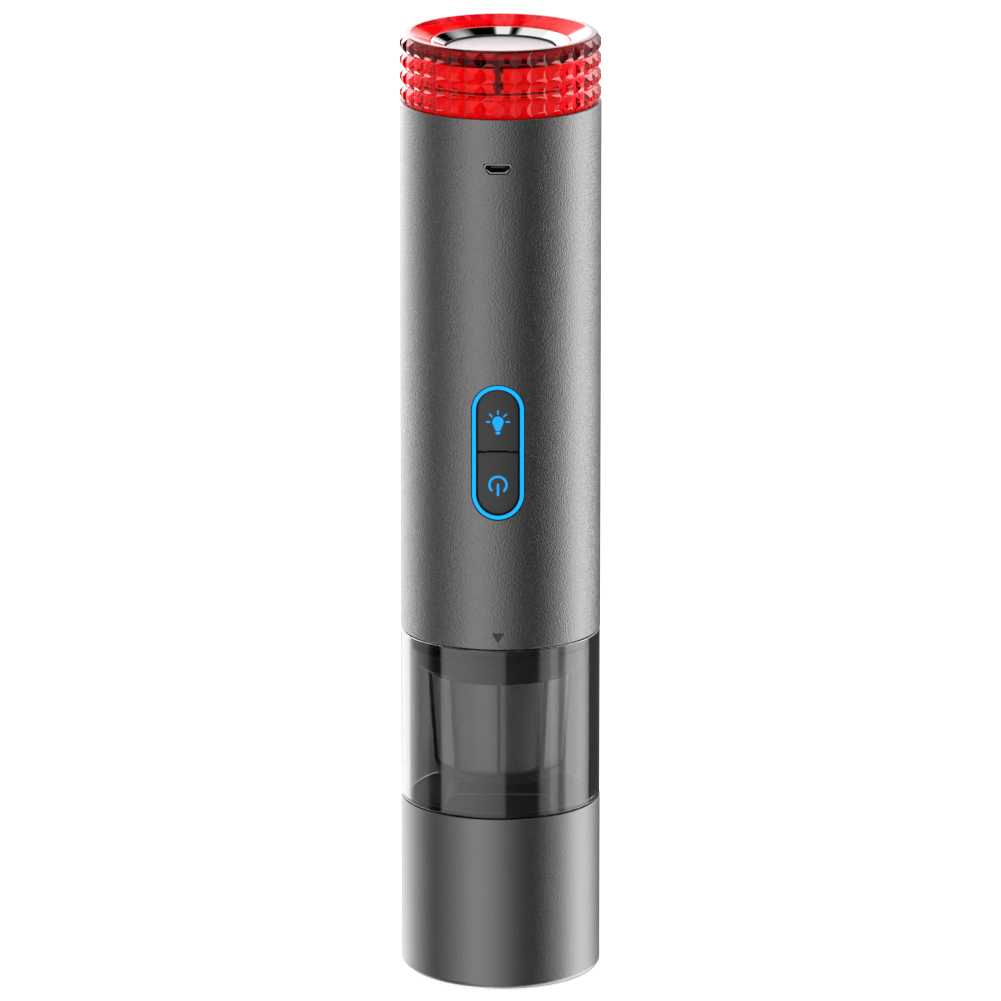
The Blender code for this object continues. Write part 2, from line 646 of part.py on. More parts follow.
def inner_frame():
    """Two half tubes that hold the inside, with windows at the keys, the socket and the exhaust."""
    front = prism("frame_front", [sector(FRAME_BORE, FRAME_R, 270.0, 179.0, 24)], FRAME_LOW, FRAME_HIGH,
                  DARK_PLASTIC)
    cut(front, block("cut_frame_keys", (-8.3, -30, 131.0), (8.3, -15, 174.3), None, is_cutter=True),
        block("cut_frame_socket", (-4.6, -30, 228.0), (4.6, -15, 235.0), None, is_cutter=True))
    rear = prism("frame_rear", [sector(FRAME_BORE, FRAME_R, 90.0, 179.0, 24)], FRAME_LOW, FRAME_HIGH,
                 DARK_PLASTIC)
    windows = [block(f"cut_frame_exhaust_{row}", (-19.5, 5, height - 6.5), (19.5, 30, height + 6.5), None,
                     is_cutter=True) for row, height in enumerate(EXHAUST_ROWS)]
    cut(rear, *windows)


def cells():
    """Two cells side by side, their holder and the two metal links."""
    top = CELL_LOW + CELL_LENGTH
    for name, side in (("cell_left", -1), ("cell_right", 1)):
        profile = [(0.0, top), (2.8, top), (2.8, top - 1.2), (CELL_R - 0.5, top - 1.2), (CELL_R, top - 1.8),
                   (CELL_R, CELL_LOW), (0.0, CELL_LOW)]
        cell = turned(name, profile, CELL_WRAP, sides=SMALL_SIDES)
        cell.location = (side * CELL_X * MM, CELL_Y * MM, 0.0)
    block("cell_link_lower", (-14, -2, 166.5), (14, 6, 166.9), STEEL)
    block("cell_link_upper", (-14, -2, 232.5), (14, 6, 232.9), STEEL)
    holder = block("cell_holder", (-17, -7, 164.6), (17, 13, 166.2), BLACK_PLASTIC)
    join(holder, block("join_holder_web", (-15, 11.5, 165.0), (15, 13.0, 234.2), None, is_cutter=True),
         block("join_holder_top", (-17, -7, 233.2), (17, 13, 234.8), None, is_cutter=True))


def board():
    """Main board along the front, the two switches and the leads to the motor."""
    block("main_board", (-9.5, BOARD_FRONT, 136.0), (9.5, BOARD_FRONT + BOARD_THICK, 238.0), BOARD_GREEN)
    for name, height in (("light_switch", KEYS_Z + 8.7), ("power_switch", KEYS_Z - 8.7)):
        base = BOARD_FRONT - GAP
        body = block(name, (-3.0, base - 1.3, height - 3.0), (3.0, base, height + 3.0), BLACK_PLASTIC)
        join(body, rod(f"join_{name}", 1.5, (0, base - 1.8, height), (0, base - 0.5, height), None, 20,
                       is_cutter=True))
    for name, side, finish in (("motor_lead_left", -1, LEAD_RED), ("motor_lead_right", 1, LEAD_BLACK)):
        start = BOARD_FRONT + BOARD_THICK + 0.9
        wire(name, [(side * 6, start, 150), (side * 6, start, 160), (side * 7, -16.6, 166), (side * 8, -12, 168.6),
                    (side * 9, -9.6, 166), (side * 9.5, -9.2, 163.4)], 0.6, finish)


# ---------------------------------------------------------------- lamp head

def lamp_base():
    """Plate that closes the barrel and carries the lamp board."""
    base = turned("lamp_base", [(0.0, 243.2), (24.3, 243.2), (24.3, 240.8), (0.0, 240.8)], DARK_PLASTIC,
                  INNER_SIDES)
    low, thick = LAMP_BOARD_Z, 1.6
    plate = turned("lamp_board", [(0.0, low + thick), (22.0, low + thick), (22.0, low), (0.0, low)], BOARD_WHITE,
                   INNER_SIDES)
    for number, side in enumerate((-1, 1), 1):
        across = side * 14.0
        cut(base, rod(f"cut_base_{number}", 1.5, (across, 0, 238), (across, 0, 246), None, 20, is_cutter=True))
        cut(plate, rod(f"cut_board_{number}", 1.5, (across, 0, 241), (across, 0, 248), None, 20, is_cutter=True))
        screw_part(f"lamp_screw_{number}", across, 0.0, low + thick + GAP, low + thick + 1.5, 241.2, 2.2, 1.2)
    face = low + thick + GAP
    block("white_emitter", (-1.75, -1.75, face), (1.75, 1.75, face + 1.2), EMITTER)
    for number in range(4):
        turn = math.radians(45.0 + 90.0 * number)
        across, along = 19.5 * math.cos(turn), 19.5 * math.sin(turn)
        block(f"red_emitter_{number + 1}", (across - 1.3, along - 1.3, face), (across + 1.3, along + 1.3, face + 1.0),
              RED_EMITTER)


def reflector():
    """Chrome bezel, lens seat and parabolic bowl in one turned shell."""
    seat = LENS_TOP - LENS_THICK - GAP
    bezel_top = TOTAL_HEIGHT - FUNNEL_DROP
    seat_r = LENS_R + GAP
    bowl_r, bowl_low = 13.6, LAMP_BOARD_Z + 3.5
    focus_scale = (seat - bowl_low) / (bowl_r ** 2 - 4.0 ** 2)
    radii = [bowl_r - (bowl_r - 4.0) * step / 4 for step in range(5)]
    bowl = [(radius, bowl_low + focus_scale * (radius ** 2 - 4.0 ** 2)) for radius in radii]
    back = [(radius + 1.0, height - 0.2) for radius, height in bowl[1:-1]]
    profile = [(FUNNEL_R - GAP, bezel_top), (FUNNEL_R - GAP, bezel_top - 1.2), (seat_r + 1.2, LENS_TOP - 1.2),
               (seat_r + 1.2, seat - 1.0), *back, (5.0, bowl_low), (4.0, bowl_low), *bowl[-2::-1], (seat_r, seat),
               (seat_r, LENS_TOP)]
    turned("reflector", profile, CHROME, sides=INNER_SIDES)
    turned("lamp_lens", [(0.0, LENS_TOP), (LENS_R, LENS_TOP), (LENS_R, LENS_TOP - LENS_THICK),
                         (0.0, LENS_TOP - LENS_THICK)], CLEAR, sides=INNER_SIDES)


def lens_liner():
    """Pale sleeve behind the red lens that spreads its emitters' light, with a joint round its middle."""
    outer, inner, joint, joint_z = 24.3, 23.5, 0.35, 251.4
    turned("lens_liner", [(outer, 259.0), (outer, joint_z + 0.4), (outer - joint, joint_z + 0.2),
                          (outer - joint, joint_z - 0.2), (outer, joint_z - 0.4), (outer, 243.5), (inner, 243.5),
                          (inner, 259.0)], BOARD_WHITE, sides=INNER_SIDES)


def warning_ring():
    """Red lens with rows of truncated pyramids outside and a funnel inside its rim."""
    low = BARREL_TOP + SEAM / 2
    edge = 0.3
    rows = [TOTAL_HEIGHT - edge - (TOTAL_HEIGHT - edge - low) * row / RING_ROWS for row in range(RING_ROWS + 1)]
    outside = [(RING_BASE_R, height) for height in rows]
    profile = [(RIM_BORE, TOTAL_HEIGHT), (RING_BASE_R - edge, TOTAL_HEIGHT), *outside, (25.7, low), (25.7, 241.2),
               (24.6, 241.2), (24.6, 261.0), (23.4, 261.7), (FUNNEL_R, TOTAL_HEIGHT - FUNNEL_DROP - 1.4),
               (FUNNEL_R, TOTAL_HEIGHT - FUNNEL_DROP)]
    plain = turned("warning_ring", profile, RED, sides=RING_COLUMNS)
    bpy.context.view_layer.update()
    mesh = bpy.data.meshes.new_from_object(plain.evaluated_get(bpy.context.evaluated_depsgraph_get()))
    grid = bmesh.new()
    grid.from_mesh(mesh)
    studs = []
    for face in grid.faces:
        middle = face.calc_center_median() / MM
        upright = abs(face.normal.z) < 0.01
        if upright and math.hypot(middle.x, middle.y) > 26.1 and middle.z > low:
            studs.append(face)
    bmesh.ops.inset_individual(grid, faces=studs, thickness=STUD_INSET * MM, depth=STUD_DEPTH * MM)
    grid.to_mesh(mesh)
    grid.free()
    plain.modifiers.clear()
    plain.data = mesh


empty_scene()
PARTS = new_collection("handheld_vacuum")
CUTTERS = new_collection("cutters")

ALLOY = paint("grey_alloy", (0.16, 0.16, 0.165), 0.38, 0.9)
SMOKED = paint("smoked_clear", (0.08, 0.08, 0.085), 0.05, 0.0, 0.45)
DARK_PLASTIC = paint("dark_plastic", (0.05, 0.05, 0.052), 0.5)
BLACK_PLASTIC = paint("black_plastic", (0.02, 0.02, 0.02), 0.45)
KEY_BLACK = paint("key_black", (0.02, 0.02, 0.022), 0.4)
RUBBER = paint("black_rubber", (0.015, 0.015, 0.015), 0.8)
STEEL = paint("bright_steel", (0.6, 0.6, 0.6), 0.3, 1.0)
CHROME = paint("chrome", (0.9, 0.9, 0.9), 0.05, 1.0)
RED = paint("red_lens", (0.8, 0.01, 0.02), 0.08, 0.0, 0.7)
BLUE = paint("blue_light_guide", (0.0, 0.4, 1.0), 0.3)
CLEAR = paint("lamp_lens_clear", (0.85, 0.85, 0.85), 0.15, 0.0, 0.8)
PAPER = paint("filter_paper", (0.75, 0.74, 0.7), 0.9)
FAN_PLASTIC = paint("fan_plastic", (0.5, 0.5, 0.5), 0.4)
FERRITE = paint("ferrite", (0.06, 0.055, 0.05), 0.7)
COPPER = paint("copper_winding", (0.55, 0.2, 0.08), 0.35, 0.9)
CELL_WRAP = paint("cell_wrap", (0.02, 0.12, 0.35), 0.35)
BOARD_GREEN = paint("board_green", (0.01, 0.12, 0.04), 0.4)
BOARD_WHITE = paint("board_white", (0.8, 0.8, 0.8), 0.4)
EMITTER = paint("white_emitter", (0.95, 0.85, 0.35), 0.4)
RED_EMITTER = paint("red_emitter", (0.6, 0.02, 0.02), 0.4)
LEAD_RED = paint("lead_red", (0.5, 0.01, 0.01), 0.5)
LEAD_BLACK = paint("lead_black", (0.02, 0.02, 0.02), 0.5)

nozzle_housing()
intake()
cup_floor()
dust_cup()
filter_collar()
cup_seal()
filter_cage()
filter_mesh()
pleated_filter()
barrel()
keys()
socket()
bayonet_socket()
fan()
motor()
inner_frame()
cells()
board()
lamp_base()
reflector()
lens_liner()
warning_ring()
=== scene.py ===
# %% [markdown]
# # A cordless handheld vacuum cleaner with a torch in its head
# The object stands on its suction mouth: a grey nozzle, a smoked clear dust cup with its filter, a long
# grey barrel with two keys and a charging socket, and a red warning lens around a torch. This lesson loads
# the measured frame of the object, makes each piece that shows as a fine mesh, gives every piece a
# procedural finish, and lights it like a small product studio.

# %% Load the frame
import math

import bmesh
import bpy
from mathutils import Matrix, Vector


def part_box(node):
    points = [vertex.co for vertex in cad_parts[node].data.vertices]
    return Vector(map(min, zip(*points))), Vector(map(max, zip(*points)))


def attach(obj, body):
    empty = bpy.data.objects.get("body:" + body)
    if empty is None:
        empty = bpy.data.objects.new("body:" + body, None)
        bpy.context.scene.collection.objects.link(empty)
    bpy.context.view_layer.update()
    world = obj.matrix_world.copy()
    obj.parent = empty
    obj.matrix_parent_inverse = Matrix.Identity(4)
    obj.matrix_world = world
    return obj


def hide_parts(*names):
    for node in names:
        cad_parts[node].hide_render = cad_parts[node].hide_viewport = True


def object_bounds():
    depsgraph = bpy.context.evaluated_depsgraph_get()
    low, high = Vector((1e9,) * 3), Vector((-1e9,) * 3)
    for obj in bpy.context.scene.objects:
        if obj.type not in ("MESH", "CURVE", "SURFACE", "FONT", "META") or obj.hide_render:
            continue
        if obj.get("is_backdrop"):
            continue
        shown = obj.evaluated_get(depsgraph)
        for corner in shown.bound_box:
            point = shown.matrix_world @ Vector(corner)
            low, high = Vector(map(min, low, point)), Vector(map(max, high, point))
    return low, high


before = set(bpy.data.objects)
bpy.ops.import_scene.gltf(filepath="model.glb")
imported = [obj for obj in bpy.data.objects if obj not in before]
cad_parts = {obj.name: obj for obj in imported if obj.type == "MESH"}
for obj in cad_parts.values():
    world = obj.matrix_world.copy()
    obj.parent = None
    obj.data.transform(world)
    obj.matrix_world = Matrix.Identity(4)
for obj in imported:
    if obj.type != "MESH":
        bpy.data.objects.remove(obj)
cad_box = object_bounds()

MM = 0.001

# %% [markdown]
# Every size below is in millimetres. The outer sizes are read from the frame's own nodes, so a fine piece
# always sits where the plain one did. The front, with the keys and the socket, faces -Y.

# %% Read the main sizes
def span(node):
    """Lowest and highest corner of a node, in millimetres."""
    low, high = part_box(node)
    return Vector(low) / MM, Vector(high) / MM


def heights(node):
    """Lowest and highest level of a node."""
    low, high = span(node)
    return low.z, high.z


BODY_R = span("barrel")[1].x
CUP_R = span("dust_cup")[1].x
NOZZLE_LOW, NOZZLE_HIGH = heights("nozzle_housing")
CUP_LOW, CUP_HIGH = heights("dust_cup")
BARREL_LOW, BARREL_HIGH = heights("barrel")
RING_LOW, TOP = heights("warning_ring")
KEYS_LOW, KEYS_HIGH = heights("key_surround")
KEYS_Z = (KEYS_LOW + KEYS_HIGH) / 2
SOCKET_LOW, SOCKET_HIGH = heights("socket_shell")
print(f"body radius {BODY_R:.1f}, cup radius {CUP_R:.1f}, height {TOP:.1f}, keys centred at {KEYS_Z:.2f}")

# %% [markdown]
# ## Two small tools for nodes
# A material or a Geometry Nodes tree is a graph. Writing each link by hand hides what the graph says, so
# one class wraps a socket and lets sums be written as sums, and another adds any other node from its type,
# its settings and what goes into its sockets.

# %% Wrap a socket so that sums can be written as sums
def feed(tree, slot, value):
    """Link a socket, or set a plain value."""
    if isinstance(value, Socket):
        tree.links.new(value.socket, slot)
    elif isinstance(value, tuple) and len(value) == 3 and slot.type == "RGBA":
        slot.default_value = (*value, 1.0)
    else:
        slot.default_value = value


class Socket:
    """An output socket that adds a Math node for each sum it is used in."""

    def __init__(self, tree, socket):
        self.tree, self.socket = tree, socket

    def maths(self, operation, *others, swapped=False):
        node = self.tree.nodes.new("ShaderNodeMath")
        node.operation = operation
        values = (self, *others)
        for slot, value in zip(node.inputs, values[::-1] if swapped else values):
            feed(self.tree, slot, value)
        return Socket(self.tree, node.outputs[0])

    def __add__(self, other):
        return self.maths("ADD", other)

    def __sub__(self, other):
        return self.maths("SUBTRACT", other)

    def __rsub__(self, other):
        return self.maths("SUBTRACT", other, swapped=True)

    def __mul__(self, other):
        return self.maths("MULTIPLY", other)

    def __truediv__(self, other):
        return self.maths("DIVIDE", other)

    def __pow__(self, other):
        return self.maths("POWER", other)

    __radd__, __rmul__ = __add__, __mul__


class Nodes:
    """A node tree that is being filled."""

    def __init__(self, tree):
        self.tree = tree
        tree.nodes.clear()

    def add(self, kind, settings=None, values=None, output=0):
        """Add a node: its type, its settings, then the values or links of its sockets."""
        node = self.tree.nodes.new(kind)
        for key, value in (settings or {}).items():
            if key == "stops":
                ramp = node.color_ramp
                while len(ramp.elements) < len(value):
                    ramp.elements.new(0.5)
                for element, (place, colour) in zip(ramp.elements, value):
                    element.position = place
                    element.color = (*colour, 1.0) if isinstance(colour, tuple) else (colour,) * 3 + (1.0,)
            else:
                setattr(node, key, value)
        for name, value in (values or {}).items():
            feed(self.tree, node.inputs[name], value)
        return Socket(self.tree, node.outputs[output]) if len(node.outputs) else node

    def vector(self, **axes):
        """Numbers joined into a vector."""
        return self.add("ShaderNodeCombineXYZ", None, axes)

    def numbers_of(self, vector):
        """The three numbers of a vector."""
        first = self.add("ShaderNodeSeparateXYZ", None, {0: vector})
        return [Socket(self.tree, output) for output in first.socket.node.outputs]

    def mixed(self, amount, none, full):
        """A colour between two, by an amount from 0 to 1."""
        values = {"Factor": amount, 6: none, 7: full}
        return self.add("ShaderNodeMix", {"data_type": "RGBA"}, values, output=2)

    def moved(self, shape, place=(0.0, 0.0, 0.0), turn=(0.0, 0.0, 0.0)):
        """A shape at a place, turned by angles in radians."""
        values = {"Geometry": shape, "Translation": place, "Rotation": turn}
        return self.add("GeometryNodeTransform", None, values)

    def gathered(self, shapes):
        """Several shapes as one."""
        node = self.tree.nodes.new("GeometryNodeJoinGeometry")
        for shape in shapes:
            self.tree.links.new(shape.socket, node.inputs[0])
        return Socket(self.tree, node.outputs[0])


print("node tools ready")

# %% [markdown]
# ## Camera
# A long lens far away, as for a catalogue picture: the sides of the tube stay parallel. It looks slightly
# down, so that the lamp in the head shows.

# %% Place the camera
AIM = Vector((0.0, 0.0, 0.1323))
DISTANCE = 2.574
LOOK_DOWN = math.radians(14.44)
LOOK_ROUND = math.radians(1.5)

camera = bpy.data.objects.new("camera", bpy.data.cameras.new("camera"))
bpy.context.scene.collection.objects.link(camera)
back = Vector((math.sin(LOOK_ROUND) * math.cos(LOOK_DOWN), -math.cos(LOOK_ROUND) * math.cos(LOOK_DOWN),
               math.sin(LOOK_DOWN)))
camera.location = AIM + back * DISTANCE
camera.rotation_euler = back.to_track_quat("Z", "Y").to_euler()
camera.data.lens = 337.1
camera.data.sensor_width = 36.0
camera.data.clip_end = 50.0
camera.data.dof.use_dof = False
bpy.context.scene.camera = camera
print("camera at", tuple(round(value, 3) for value in camera.location))

# %% [markdown]
# ## Studio
# Glossy tubes show the room as upright stripes, so the room is what shapes them. Real studios stand white
# and black boards around the product. Boards could be modelled one by one; here the world itself carries
# them, as soft stripes by compass direction, because nothing then casts a stray shadow. The table is plain
# and pale, glows a little so that it stays clean, and is left out of mirror images.

# %% Hang the boards
# Each pair is a place in degrees round the object, 0 in front and positive to the right, and a brightness.
# The low boards fill a strip just below level, which upright mirror-like walls show to the camera.
LOW_BOARDS = (
    (-180, 0.5), (-168, 0.5), (-164, 1.9), (-128, 1.9), (-125, 0.9), (-92, 0.6), (-89, 0.02), (-73, 0.02),
    (-70, 2.1), (-40, 2.1), (5, 1.35), (9, 0.22), (46, 0.15), (50, 1.3), (60, 1.7), (63, 2.9), (71, 2.9),
    (74, 1.2), (81, 1.2), (85, 4.0), (108, 4.0), (124, 2.0), (128, 0.08), (173, 0.06), (177, 0.5), (180, 0.5),
)
SIDE_BOARDS = (
    (-180, 2.0), (-168, 5.6), (-150, 6.2), (-135, 5.8), (-120, 4.0), (-105, 1.5), (-90, 0.7), (-75, 0.1),
    (-60, 0.0), (-45, 0.8), (-30, 2.3), (-15, 1.75), (0, 0.95), (15, 0.66), (30, 0.15), (45, 0.0), (60, 0.0),
    (75, 0.55), (90, 3.7), (105, 6.0), (120, 6.0), (135, 5.7), (150, 1.8), (165, 0.4), (180, 2.0),
)
HIGH_BOARDS = (
    (-180, 1.1), (-90, 1.1), (-84, 0.5), (-50, 0.5), (-35, 1.0), (0, 0.9), (12, 0.2), (46, 0.2), (62, 0.9),
    (161, 1.1), (162, 0.0), (170, 0.0), (171, 1.1), (180, 1.1),
)
CEILING = (
    (-180, 0.9), (-171, 0.9), (-170, 0.0), (-165, 0.0), (-164, 0.9), (161, 0.9), (162, 0.0), (177, 0.0),
    (178, 0.9), (180, 0.9),
)
BRIGHTEST = max(level for place, level in LOW_BOARDS + SIDE_BOARDS + HIGH_BOARDS + CEILING)

world = bpy.data.worlds.new("studio")
bpy.context.scene.world = world
world.use_nodes = True
sky = Nodes(world.node_tree)
east, north, height = sky.numbers_of(sky.add("ShaderNodeTexCoord", output=0))
compass = east.maths("ARCTAN2", north * -1.0) / math.tau + 0.5


def boards_in(row):
    """A row of boards as one ramp round the compass."""
    stops = [((place + 180) / 360, level / BRIGHTEST) for place, level in row]
    return sky.add("ShaderNodeValToRGB", {"stops": stops}, {"Fac": compass})


def risen(low, high):
    """From 0 to 1 between two heights of the view direction."""
    return sky.add("ShaderNodeMapRange", {"interpolation_type": "SMOOTHSTEP"},
                   {"Value": height, "From Min": low, "From Max": high})


low_strip = risen(-0.36, -0.30) * (risen(-0.20, -0.14) * -1.0 + 1.0)
sides = sky.mixed(low_strip, boards_in(SIDE_BOARDS), boards_in(LOW_BOARDS))
upper = sky.mixed(risen(0.62, 0.66), boards_in(HIGH_BOARDS), boards_in(CEILING))
room = sky.mixed(risen(0.30, 0.40), sides, upper)
lit_room = sky.add("ShaderNodeBackground", None, {"Color": room, "Strength": BRIGHTEST})
plain_room = sky.add("ShaderNodeBackground", None, {"Color": (1.0, 1.0, 1.0), "Strength": 1.0})
for_camera = sky.add("ShaderNodeLightPath", output=0)
shown = sky.add("ShaderNodeMixShader", None, {0: for_camera, 1: lit_room, 2: plain_room})
sky.add("ShaderNodeOutputWorld", None, {"Surface": shown})
bpy.context.scene.view_settings.view_transform = "Standard"
print("studio with", len(LOW_BOARDS + SIDE_BOARDS + HIGH_BOARDS + CEILING), "board edges")

# %% Lay the table and hang one softbox
TABLE_HALF = 4.0
table_mesh = bpy.data.meshes.new("table")
table_corners = [(x * TABLE_HALF, y * TABLE_HALF, 0) for x, y in ((-1, -1), (1, -1), (1, 1), (-1, 1))]
table_mesh.from_pydata(table_corners, [], [(0, 1, 2, 3)])
table = bpy.data.objects.new("table", table_mesh)
bpy.context.scene.collection.objects.link(table)
table.location.z = -0.0002
table.visible_glossy = False
table.visible_transmission = False
paper = bpy.data.materials.new("pale_table")
paper.use_nodes = True
sheet = Nodes(paper.node_tree)
white = sheet.add("ShaderNodeBsdfPrincipled", None, {
    "Base Color": (0.7, 0.7, 0.7), "Roughness": 0.9,
    "Emission Color": (1.0, 1.0, 1.0), "Emission Strength": 0.75})
sheet.add("ShaderNodeOutputMaterial", None, {"Surface": white})
table_mesh.materials.append(paper)
table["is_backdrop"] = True

softbox = bpy.data.lights.new("softbox", "AREA")
softbox.shape = "DISK"
softbox.size = 0.8
softbox.energy = 3.0
lamp = bpy.data.objects.new("softbox", softbox)
lamp.location = (-0.5, -0.9, 1.2)
lamp.rotation_euler = (Vector(lamp.location) - AIM).to_track_quat("Z", "Y").to_euler()
bpy.context.scene.collection.objects.link(lamp)
print("table and softbox ready")

# %% [markdown]
# ## Finishes
# Most inner parts are moulded plastic, pressed metal or board. They differ in colour, gloss and grain, not
# in kind, so one recipe takes those as numbers: cloudy noise shifts the colour, a finer noise shifts the
# gloss and makes the bumps. The special ones (the alloy, the smoked cup, the red lens) get their own
# recipe.

# %% The common recipe
FINISHES = {}


def start_finish(name):
    """A new material and its node tree."""
    made = bpy.data.materials.new(name)
    made.use_nodes = True
    FINISHES[name] = made
    return Nodes(made.node_tree)


def object_noise(nodes, size, detail=2.0, stretch=(1.0, 1.0, 1.0)):
    """Noise with features of about this size in millimetres, from 0 to 1."""
    where = nodes.add("ShaderNodeTexCoord", output=3)
    turned_by = nodes.add("ShaderNodeMapping", None, {"Vector": where, "Scale": stretch})
    return nodes.add("ShaderNodeTexNoise", None,
                     {"Vector": turned_by, "Scale": 1.0 / (size * MM), "Detail": detail, "Roughness": 0.6})


def place_in(nodes):
    """Place on the object as three sockets, in millimetres."""
    return [number / MM for number in nodes.numbers_of(nodes.add("ShaderNodeTexCoord", output=3))]


def painted_faces(nodes, attribute):
    """A value from 0 to 1 that the piece's faces carry."""
    return nodes.add("ShaderNodeAttribute", {"attribute_name": attribute}, output=2)


def close_finish(nodes, bump_from, depth, values, fixed):
    """Bumps, the Principled shader and the output; underscores stand for spaces in its inputs' names."""
    bump = nodes.add("ShaderNodeBump", None, {"Strength": 1.0, "Distance": depth * MM, "Height": bump_from})
    inputs = {key.replace("_", " "): value for key, value in fixed.items()}
    shader = nodes.add("ShaderNodeBsdfPrincipled", None, {**values, "Normal": bump, **inputs})
    nodes.add("ShaderNodeOutputMaterial", None, {"Surface": shader})


def special_finish(nodes, colour, roughness, grain, spread, depth, **fixed):
    """A finish whose colour comes from its own masks; the grain moves the gloss and makes the bumps."""
    fine = object_noise(nodes, grain)
    close_finish(nodes, fine, depth, {"Base Color": colour, "Roughness": fine * spread + roughness}, fixed)


def finish(name, colour, roughness, grain=0.4, depth=0.012, clouds=6.0, shift=0.12, spread=0.12,
           stretch=(1.0, 1.0, 1.0), metallic=0.0, octaves=3.0, **fixed):
    """The common recipe. Grain and clouds are sizes in millimetres; depth is the height of the grain."""
    nodes = start_finish(name)
    cloud = object_noise(nodes, clouds, 3.0)
    fine = object_noise(nodes, grain, octaves, stretch)
    dark = tuple(value * (1 - shift) for value in colour)
    light = tuple(min(1.0, value * (1 + shift)) for value in colour)
    values = {"Base Color": nodes.mixed(cloud * 0.6 + fine * 0.4, dark, light), "Metallic": metallic,
              "Roughness": (fine - 0.5) * spread + (cloud - 0.5) * spread + roughness}
    close_finish(nodes, fine, depth, values, fixed)


for row in (
    ("dark_plastic", (0.045, 0.045, 0.048), 0.42),
    ("black_plastic", (0.016, 0.016, 0.017), 0.55),
    ("key_black", (0.013, 0.013, 0.014), 0.52, 0.25, 0.008),
    ("black_rubber", (0.014, 0.014, 0.014), 0.75, 0.5, 0.02),
    ("filter_paper", (0.60, 0.59, 0.55), 0.85, 0.12, 0.03, 3.0, 0.08),
    ("fan_plastic", (0.42, 0.42, 0.43), 0.40),
    ("ferrite", (0.055, 0.052, 0.05), 0.7, 0.2, 0.03),
    ("cell_wrap", (0.02, 0.10, 0.30), 0.32, 2.0, 0.01, 8.0),
    ("board_green", (0.010, 0.11, 0.04), 0.35, 0.6, 0.02, 4.0, 0.25),
    ("board_white", (0.78, 0.78, 0.76), 0.38, 0.6, 0.01),
    ("lead_red", (0.50, 0.012, 0.012), 0.45, 0.6, 0.01),
    ("lead_black", (0.02, 0.02, 0.02), 0.45, 0.6, 0.01),
    ("print_grey", (0.022, 0.022, 0.023), 0.8, 0.2, 0.003),
):
    finish(*row)

floor_look = start_finish("floor_black")
# painted highlight: the black floor's colour is lighter on the hood's rounded rim and on the groove's edges
floor_colour_with_highlight = floor_look.mixed(painted_faces(floor_look, "bead"), (0.010, 0.010, 0.011), (0.34, 0.34, 0.35))
special_finish(floor_look, floor_colour_with_highlight, 0.45, 0.4, 0.1, 0.002, Specular_IOR_Level=0.15)
print(len(FINISHES), "moulded finishes")

# %% [markdown]
# Metal needs its own numbers: sandblasted alloy has a short even grain, pressed steel a faint drawn grain,
# chrome almost none. The wound armature is copper wire, which shows as fine bands along its length.

# %% Metals
GRAIN_ALONG = (1.0, 1.0, 0.15)
finish("grey_alloy", (0.128, 0.128, 0.131), 0.33, 0.42, 0.105, 9.0, 0.06, 0.07, metallic=1.0, octaves=0.5)
finish("fine_alloy", (0.128, 0.128, 0.131), 0.36, 0.38, 0.045, 9.0, 0.06, 0.07, metallic=1.0, octaves=0.5)
finish("bright_steel", (0.62, 0.62, 0.63), 0.26, 0.15, 0.006, 5.0, 0.08, 0.1, GRAIN_ALONG, metallic=1.0)

finish("wire_steel", (0.80, 0.80, 0.81), 0.38, 0.2, 0.004, 5.0, 0.1, 0.1, metallic=1.0)

finish("copper_winding", (0.62, 0.24, 0.10), 0.30, 0.25, 0.05, 3.0, 0.2, 0.1, (1.0, 1.0, 0.2), metallic=1.0)

LIP_DEPTH = 0.2  # the socket's shell shows its bright steel for this far behind its front; beyond, it is painted dark as painted shade inside the opening
lip_steel = start_finish("socket_steel")
painted_shade_inside = ((place_in(lip_steel)[1] - span("socket_shell")[0].y) / LIP_DEPTH).maths("MINIMUM", 1.0)
# painted shade: the steel is painted near black past the lip, inside the socket
lip_colour_with_shade = lip_steel.mixed(painted_shade_inside, (0.42, 0.42, 0.43), (0.03, 0.03, 0.03))
special_finish(lip_steel, lip_colour_with_shade, 0.24, 0.3, 0.05, 0.004, Metallic=1.0)

chrome = start_finish("chrome")
# faces that look down stay uncoated dark plastic; the step round the lens is painted dark as painted shade in
# the gap
coated = painted_faces(chrome, "coated")
chrome_colour_with_step_shade = chrome.mixed(coated, (0.012, 0.011, 0.011), (0.92, 0.92, 0.93))
special_finish(chrome, chrome_colour_with_step_shade, coated * -0.45 + 0.48, 3.0, 0.03, 0.002, Metallic=coated)
print("metals ready")

# %% [markdown]
# The clear parts. The cup is smoked polycarbonate: it lets about a third of the light through each wall and
# is polished, with a little waviness from the mould. The warning lens is red all through, with emitters
# behind it; its funnel is given a painted glow, and its top row is painted dark as painted shade. The
# lamp's lens is a pale diffusing disc with a faint painted glow.

# %% Clear and lit parts
finish("smoked_clear", (0.34, 0.34, 0.345), 0.0, 14.0, 0.012, 30.0, 0.03, 0.01,
       Transmission_Weight=1.0, IOR=1.5)
# the lamp's lens gives off a faint painted glow of its own
finish("lamp_lens_clear", (0.58, 0.58, 0.585), 0.25, 0.8, 0.01, 6.0, 0.03, 0.05,
       Transmission_Weight=0.35, IOR=1.5, Emission_Color=(1.0, 1.0, 1.0), Emission_Strength=0.06)


def limited(value):
    """A value kept from 0 to 1."""
    return value.maths("MAXIMUM", 0.0).maths("MINIMUM", 1.0)


def outside(value, middle, half, blur=0.08):
    """0 within a strip, 1 beyond it; all in millimetres."""
    return limited(((value - middle).maths("ABSOLUTE") - half) / blur)


BLACK = (0.0, 0.0, 0.0)
SHADE_ROW_LEVEL = 258.9  # the lens is painted dark from this level up, as painted shade where no emitter stands behind it
STUD_FOOT_R = 24.8
GLOW_R, GLOW_LOW = 24.4, 260.8  # a painted glow lies on the funnel inside the lens within this radius, from this level up
